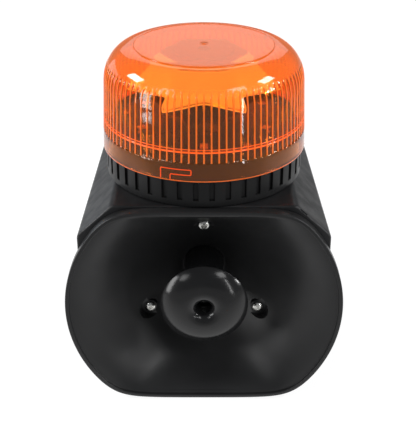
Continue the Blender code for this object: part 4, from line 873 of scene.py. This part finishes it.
def make_light():
    """Six-lobed reflector with an edge bead and a frosted roof that carry painted glow, its
    hexagonal plate, the LED board and LEDs.
    """
    low, high = corners("reflector")
    bottom, edge, top = low[2], low[2] + SCOOP_HEIGHT, high[2]
    t = np.linspace(0, 1, 22)
    grow = 0.46 + 0.54 * t ** 1.7
    scoop = [lobed(CUSP * g, WAIST * g, bottom + SCOOP_HEIGHT * s) for g, s in zip(grow, t)]
    roof_share = np.linspace(0, 1, 9)[1:]
    roof = [lobed(CUSP + (ROOF_CUSP - CUSP) * s, WAIST + (ROOF_WAIST - WAIST) * s,
                  edge + (top - edge) * s) for s in roof_share]
    edge_path = lobed(CUSP + 0.1, WAIST + 0.1, edge)
    closed = np.vstack([edge_path, edge_path[:2]])
    # Painted glow on the edge bead, and on the frosted roof: emitted light, though neither is a
    # lamp.
    bead = tube(closed, 0.45, (0, 0, 1), columns=8, glow=1.3)
    frosted_with_painted_glow = np.concatenate([np.zeros(len(scoop)), np.full(len(roof), 1.0)])[:, None]
    piece("optic", [skin(np.stack(scoop + roof), glow=frosted_with_painted_glow), bead], MIRROR, nodes=("reflector",),
          angle=25.0)
    plate_bottom = corners("reflector_plate")[0][2]
    hexagon = ring_angle(60.0 * np.arange(6) + 90.0) * 28.8
    outline = evenly(np.vstack([rounded(hexagon, 1.5, 4), rounded(hexagon, 1.5, 4)[:1]]), 2.0)[:-1]
    angle = np.arctan2(outline[:, 1], outline[:, 0])
    round_outline = np.stack([np.cos(angle), np.sin(angle)], axis=-1)
    levels = [(0.0, 2.2, 0.0), (1.0, 0.0, 0.0), (1.0, 0.0, 1.3), (0.985, 0.0, 1.6),
              (0.0, 20.0, 1.6), (0.0, 19.6, 1.8), (0.0, 19.5, 3.1), (0.0, 19.2, 3.4),
              (0.0, 4.3, 3.4), (0.0, 4.0, 3.1), (0.0, 4.0, 1.6), (0.0, 2.2, 1.6)]
    rows = [np.hstack([outline * full + round_outline * disc,
                       np.full((len(outline), 1), plate_bottom + rise)])
            for full, disc, rise in levels]
    piece("optic_plate", [skin(np.stack(rows), loop=True)], PLATE, nodes=("reflector_plate",),
          angle=25.0)
    board_low, board_high = corners("led_board")
    piece("beacon_board", [turned(rounded([(0, board_high[2]), (57, board_high[2]),
                                           (57, board_low[2]), (0, board_low[2])], 0.3, 2,
                                          closed=False), (0, 0, 0), columns=160, loop=False)],
          LED_BOARD, nodes=("led_board",))
    for number in range(6):
        make_led(f"led_{number + 1}", 60.0 * number)


def make_led(node, degrees):
    """One LED: a square carrier with rounded edges under a round lens of half its width."""
    low, high = corners(node)
    middle = (low + high) / 2
    carrier = block((-2.5, -2.5, 0.0), (2.5, 2.5, 0.9), 0.25)
    turn = np.radians(degrees)
    spin = np.array([[np.cos(turn), -np.sin(turn), 0], [np.sin(turn), np.cos(turn), 0],
                     [0, 0, 1]])
    points = carrier[0] @ spin.T + (middle[0], middle[1], low[2])
    bend = np.linspace(0, np.pi / 2, 9)
    dome = np.stack([1.9 * np.sin(bend), 0.7 + 1.1 * np.cos(bend)], axis=-1)
    dome = np.vstack([dome, [(1.9, 0.4), (0.0, 0.4)]])
    lens = turned(dome, (middle[0], middle[1], low[2]), columns=32, loop=False)
    piece(node + "_finished", [(points, *carrier[1:]), lens], LED, nodes=(node,))


def make_seal():
    """Rubber ring with a rounded section between the neck and the lens."""
    low, high = corners("lens_seal")
    piece("lens_gasket", [turned(rounded([(62.0, high[2]), (63.8, high[2]), (63.8, low[2]),
                                          (62.0, low[2])], 0.6, 4), (0, 0, 0), columns=180)],
          RUBBER, nodes=("lens_seal",))


# ---- housing ----
HOUSING_HALF_WIDTH, TOP_HALF_WIDTH, CHAMFER_HEIGHT = 80.6, 58.0, 21.0
OPENING_RADIUS = 77.1
INSERT_HOLE = 4.9


def housing_outline(inset, radius=2.5):
    """The chamfered outline as (x, z), moved inward, with rounded corners and even points."""
    height = HOUSING_HIGH[2]
    right = np.array([(50.0, 0.0), (HOUSING_HALF_WIDTH, 40.0),
                      (HOUSING_HALF_WIDTH, height - CHAMFER_HEIGHT), (TOP_HALF_WIDTH, height)])
    corner = np.vstack([right, (right * (-1, 1))[::-1]])
    back = corner - np.roll(corner, 1, 0)
    ahead = np.roll(corner, -1, 0) - corner
    back /= np.linalg.norm(back, axis=1)[:, None]
    ahead /= np.linalg.norm(ahead, axis=1)[:, None]
    inward = np.stack([-back[:, 1] - ahead[:, 1], back[:, 0] + ahead[:, 0]], axis=-1)
    inward /= np.linalg.norm(inward, axis=1)[:, None]
    share = (inward * np.stack([-back[:, 1], back[:, 0]], axis=-1)).sum(axis=1)
    corner = corner + inward * (inset / share)[:, None]
    return rounded(corner, radius, 8)


def housing_width(y):
    """Width over front width: the mould's draft narrows the body toward its rear."""
    return 1.0 - 0.055 * (y + 62.5) / 139.5


OUTLINE_ANGLES = circle(720)


def outline_reach(inset, radius=2.5):
    """The outline read at even angles round the horn's axis, as a distance from that axis."""
    points = housing_outline(inset, radius) - (0.0, AXIS_Z)
    fine = evenly(np.vstack([points, points[:1]]), 0.25)[:-1]
    angle = np.arctan2(fine[:, 1], fine[:, 0]) % TURN
    order = np.argsort(angle)
    return np.interp(OUTLINE_ANGLES, angle[order], np.hypot(*fine.T)[order], period=TURN)


def axis_grid(reaches, depths):
    """Loops round the horn's axis: each a distance at every angle and a depth along Y."""
    loops = []
    for reach, y in zip(reaches, depths):
        width = housing_width(y)
        loops.append(np.stack([reach * np.cos(OUTLINE_ANGLES) * width,
                               np.full(len(OUTLINE_ANGLES), float(y)),
                               AXIS_Z + reach * np.sin(OUTLINE_ANGLES)], axis=-1))
    return np.stack(loops)


def make_housing():
    """Moulded body: a front frame round the horn, rounded edges, drafted sides, a bulkhead."""
    opening = flat_round(OPENING_RADIUS, bell_half_height(OPENING_RADIUS) + 1.5, 18.0,
                         OUTLINE_ANGLES)
    front, rear = HOUSING_LOW[1], HOUSING_HIGH[1]
    bend = np.linspace(0, np.pi / 2, 6)
    edge = 1.3
    reaches, depths = [opening, opening], [front + 2.5, front]
    for angle in bend:
        reaches.append(outline_reach(edge * (1 - np.sin(angle))))
        depths.append(front + edge * (1 - np.cos(angle)))
    for y in np.linspace(front + 4, rear - 1.0, 14):
        reaches.append(outline_reach(0.0))
        depths.append(y)
    reaches += [outline_reach(0.2), outline_reach(0.6), outline_reach(2.5, 1.5),
                outline_reach(2.5, 1.5)]
    depths += [rear - 0.2, rear, rear, front + 2.5]
    height = HOUSING_HIGH[2]
    notch = block((-3.0, -0.8, -1.6), (3.0, 0.8, 1.6), 0.2)
    tilt = np.arctan2(CHAMFER_HEIGHT, HOUSING_HALF_WIDTH - TOP_HALF_WIDTH)
    turn = np.array([[np.cos(tilt), 0, np.sin(tilt)], [0, 1, 0], [-np.sin(tilt), 0, np.cos(tilt)]])
    cutters = [(notch[0] @ turn.T + (63.0, front, height - 4.0), *notch[1:])]
    for number in (1, 2):
        x, y, _ = centre(f"mount_insert_{number}")
        cutters.append(bore(INSERT_HOLE, 4, -4, (x, y, 0)))
    cutters.append(bore(10.0, 4, -4, (0, 0, height), columns=64))
    piece("housing_body", [skin(axis_grid(reaches, depths), loop=True)], BODY,
          nodes=("housing",), cutters=cutters, angle=35.0)
    inside = outline_reach(2.3, 1.5)
    hole = np.full(len(OUTLINE_ANGLES), THROAT_RADIUS)
    bulkhead = axis_grid([hole, inside, inside, hole], [-8.0, -8.0, -4.5, -4.5])
    skins = [skin(bulkhead, loop=True)]
    for number in (1, 2):
        x, y, _ = centre(f"mount_insert_{number}")
        skins.append(turned(rounded([(INSERT_HOLE, 0.4), (8.0, 0.4), (7.8, 12.0), (0.0, 12.0),
                                     (0.0, 9.4), (INSERT_HOLE, 9.4)], 0.5, 3), (x, y, 0),
                            columns=48))
    for number in range(1, 5):
        x, _, z = centre(f"rear_screw_{number}")
        skins.append(turned([(2.2, -22.0), (4.6, -22.0), (5.0, -0.4), (2.2, -0.4)],
                            (x, rear, z), "rear", 40))
    piece("housing_inside", skins, BODY, angle=35.0)


def make_inserts():
    """Threaded brass inserts with a knurled outside: the radius ripples with angle and height."""
    for number in (1, 2):
        low, high = corners(f"mount_insert_{number}")
        x, y, _ = centre(f"mount_insert_{number}")
        height = np.linspace(low[2], high[2], 19)[:, None]
        angle = circle(96)
        knurl = 0.18 * np.abs(np.sin(12 * angle + height)) * np.abs(np.sin(12 * angle - height))
        outer = 4.6 - knurl
        depth = np.linspace(high[2], low[2], 46)[:, None]
        thread = 2.5 + 0.25 * (0.5 + 0.5 * np.cos(TURN * depth / 0.8 + angle))
        grid = np.concatenate([rings_at(outer, height, angle), rings_at(thread, depth, angle)])
        grid += (x, y, 0.0)
        piece(f"mount_insert_{number}_finished", [skin(grid, loop=True)], BRASS,
              nodes=(f"mount_insert_{number}",), angle=40.0)


# ---- rear ----
def make_rear():
    """Rear cover with a sunk panel and bars, and a cable gland with a hexagon and a dome nut."""
    rear = corners("rear_cover")[1][1]
    front = rear - 3.0
    inset = [3.0, 0.0, 0.0, 0.15, 0.5, 1.1, 7.5, 8.2, 8.6]
    depth = [front, front, rear - 1.1, rear - 0.5, rear - 0.15, rear, rear, rear - 0.3, rear - 0.8]
    reaches = [outline_reach(value) for value in inset]
    skins = [skin(axis_grid(reaches, depth))]
    for x in np.linspace(-45.0, 45.0, 13):
        reach = 1.0 - (abs(x) / 62.0) ** 4
        skins.append(block((x - 1.1, rear - 1.2, 64.0 - 3 * reach), (x + 1.1, rear - 0.15,
                                                                    104.0 + 12 * reach), 0.4))
    for number in range(1, 5):
        x, _, z = centre(f"rear_screw_{number}")
        skins.append(turned(rounded([(2.1, -1.0), (5.6, -1.0), (5.4, 0.2), (2.1, 0.2)], 0.3, 3),
                            (x, rear, z), "rear", 48))
    half_x, half_z = 36.0, 25.0
    board_z = centre("control_board")[2]
    for sign_x in (-1, 1):
        for sign_z in (-1, 1):
            skins.append(turned([(1.6, 1.5), (3.8, 1.5), (3.4, 15.0), (1.6, 15.0)],
                                (sign_x * half_x, rear, board_z + sign_z * half_z), "front", 32))
    piece("rear_panel", skins, BODY, nodes=("rear_cover",), angle=35.0)
    x, _, z = centre("cable_gland")
    start = rear + 0.3
    end = corners("cable_gland")[1][1]
    origin = (x, start, z)
    columns = 144
    angle = circle(columns)
    corner_reach = 11.8 * np.cos(np.pi / 6) / np.cos((angle + np.pi / 6) % (np.pi / 3)
                                                     - np.pi / 6)
    hexagon = np.minimum(corner_reach, 11.6)
    fluted = 10.8 - 0.45 * np.abs(np.sin(9 * angle)) ** 6
    plain = np.ones(columns)
    length = end - start
    loops = [(4.0 * plain, -11.0), (8.0 * plain, -11.0), (8.0 * plain, 0.0),
             (hexagon - 0.8, 0.0), (hexagon, 0.5), (hexagon, 3.6), (hexagon - 0.7, 4.0),
             (10.0 * plain, 4.1), (10.0 * plain, 4.6), (fluted - 0.3, 4.8), (fluted, 5.2),
             (fluted, length - 6.0), (fluted * 0.96, length - 5.0), (9.3 * plain, length - 3.6),
             (7.6 * plain, length - 1.2), (6.6 * plain, length - 0.3), (5.9 * plain, length),
             (5.5 * plain, length - 0.2), (5.3 * plain, length - 2.0), (4.0 * plain, length - 3.0)]
    grid = np.stack([rings_at(reach, height, angle) for reach, height in loops])
    piece("gland_body", [skin(placed(grid, origin, "rear"), loop=True)], BODY,
          nodes=("cable_gland",), angle=28.0)
    plug = rounded([(0.0, length - 2.2), (3.2, length - 2.2), (4.2, length - 1.4),
                    (5.2, length - 1.4), (5.2, length - 6.0), (0.0, length - 6.0)], 0.4, 3,
                   closed=False)
    piece("gland_plug", [turned(plug, origin, "rear", 64, loop=False)], RUBBER)


# ---- build ----
dress_packed_nodes()
make_horn()
make_centre_cap()
make_screws()
make_base_ring()
make_lens()
make_light()
make_seal()
make_housing()
make_inserts()
make_rear()


# ---- stage ----
# Name, azimuth, elevation, distance, width, height, radiance and colour of each light.
WHITE = (1.0, 1.0, 1.0)
LIGHTS = [("box_left", -97, 34, 1.7, 0.55, 0.40, 22, WHITE),
          ("box_right", 88, 38, 1.7, 0.50, 0.35, 18, WHITE),
          ("strip_left", -64, 8, 0.5, 0.12, 0.29, 8, WHITE),
          ("strip_right", 40.5, 6, 0.5, 0.018, 0.26, 16, WHITE),
          ("back", 180, 26, 1.9, 1.5, 0.62, 0.75, WHITE),
          ("low_right", 79, 14, 1.7, 0.28, 0.24, 36, WHITE),
          ("front_left", -45, 30, 2.0, 0.5, 0.5, 4.5, WHITE),
          ("front_right", 43, 38, 2.0, 0.6, 0.5, 5.5, WHITE),
          ("card_left", -130, 6, 1.8, 0.9, 0.6, 1.1, (0.80, 0.90, 1.0))]


def softbox(name, azimuth, elevation, distance, width, height, radiance, colour):
    """Area light that looks at the siren: azimuth from the front, + toward +X."""
    data = bpy.data.lights.new(name, "AREA")
    data.shape = "RECTANGLE"
    data.size, data.size_y = width, height
    data.energy = radiance * np.pi * width * height
    data.color = colour
    light = bpy.data.objects.new(name, data)
    around_z, up = np.radians(azimuth), np.radians(elevation)
    target = np.array([0.0, 0.0, 0.12])
    direction = np.array([np.cos(up) * np.sin(around_z), -np.cos(up) * np.cos(around_z),
                          np.sin(up)])
    light.location = target + direction * distance
    light.rotation_euler = (np.pi / 2 - up, 0.0, around_z)
    bpy.context.scene.collection.objects.link(light)


def make_stage():
    """White board on a grey floor, a dim room and soft lights on every side."""
    paint = Nodes("floor_paint")
    colour = paint.mix(paint.clouds(400.0, 2.0), (0.19, 0.19, 0.19), (0.21, 0.21, 0.21))
    spot = paint.add("ShaderNodeSeparateXYZ")
    paint.link(paint.coordinates.outputs["Object"], spot.inputs["Vector"])
    behind = paint.span(spot.outputs["Y"], 0.0, 1.0, -0.24, -0.11)
    beside = paint.span(paint.math("ABSOLUTE", spot.outputs["X"], 0.0), 1.0, 0.0, 0.36, 0.60)
    board = paint.math("MULTIPLY", behind, beside)
    paint.put(Base_Color=colour, Roughness=0.9, Specular_IOR_Level=0.2,
              Emission_Color=(1.0, 1.0, 1.0),
              Emission_Strength=paint.span(board, 0.22, 0.88, 0.0, 1.0))
    mesh = bpy.data.meshes.new("floor")
    reach = 12.0
    mesh.from_pydata([(-reach, -reach, -0.0006), (reach, -reach, -0.0006),
                      (reach, reach, -0.0006), (-reach, reach, -0.0006)], [], [(0, 1, 2, 3)])
    mesh.materials.append(paint.material)
    floor = bpy.data.objects.new("floor", mesh)
    bpy.context.scene.collection.objects.link(floor)
    world = bpy.data.worlds.new("room")
    world.use_nodes = True
    background = world.node_tree.nodes["Background"]
    background.inputs["Color"].default_value = (0.93, 0.96, 1.0, 1.0)
    background.inputs["Strength"].default_value = 0.20
    bpy.context.scene.world = world
    bpy.context.scene.view_settings.view_transform = "Standard"
    for light in LIGHTS:
        softbox(*light)


make_stage()
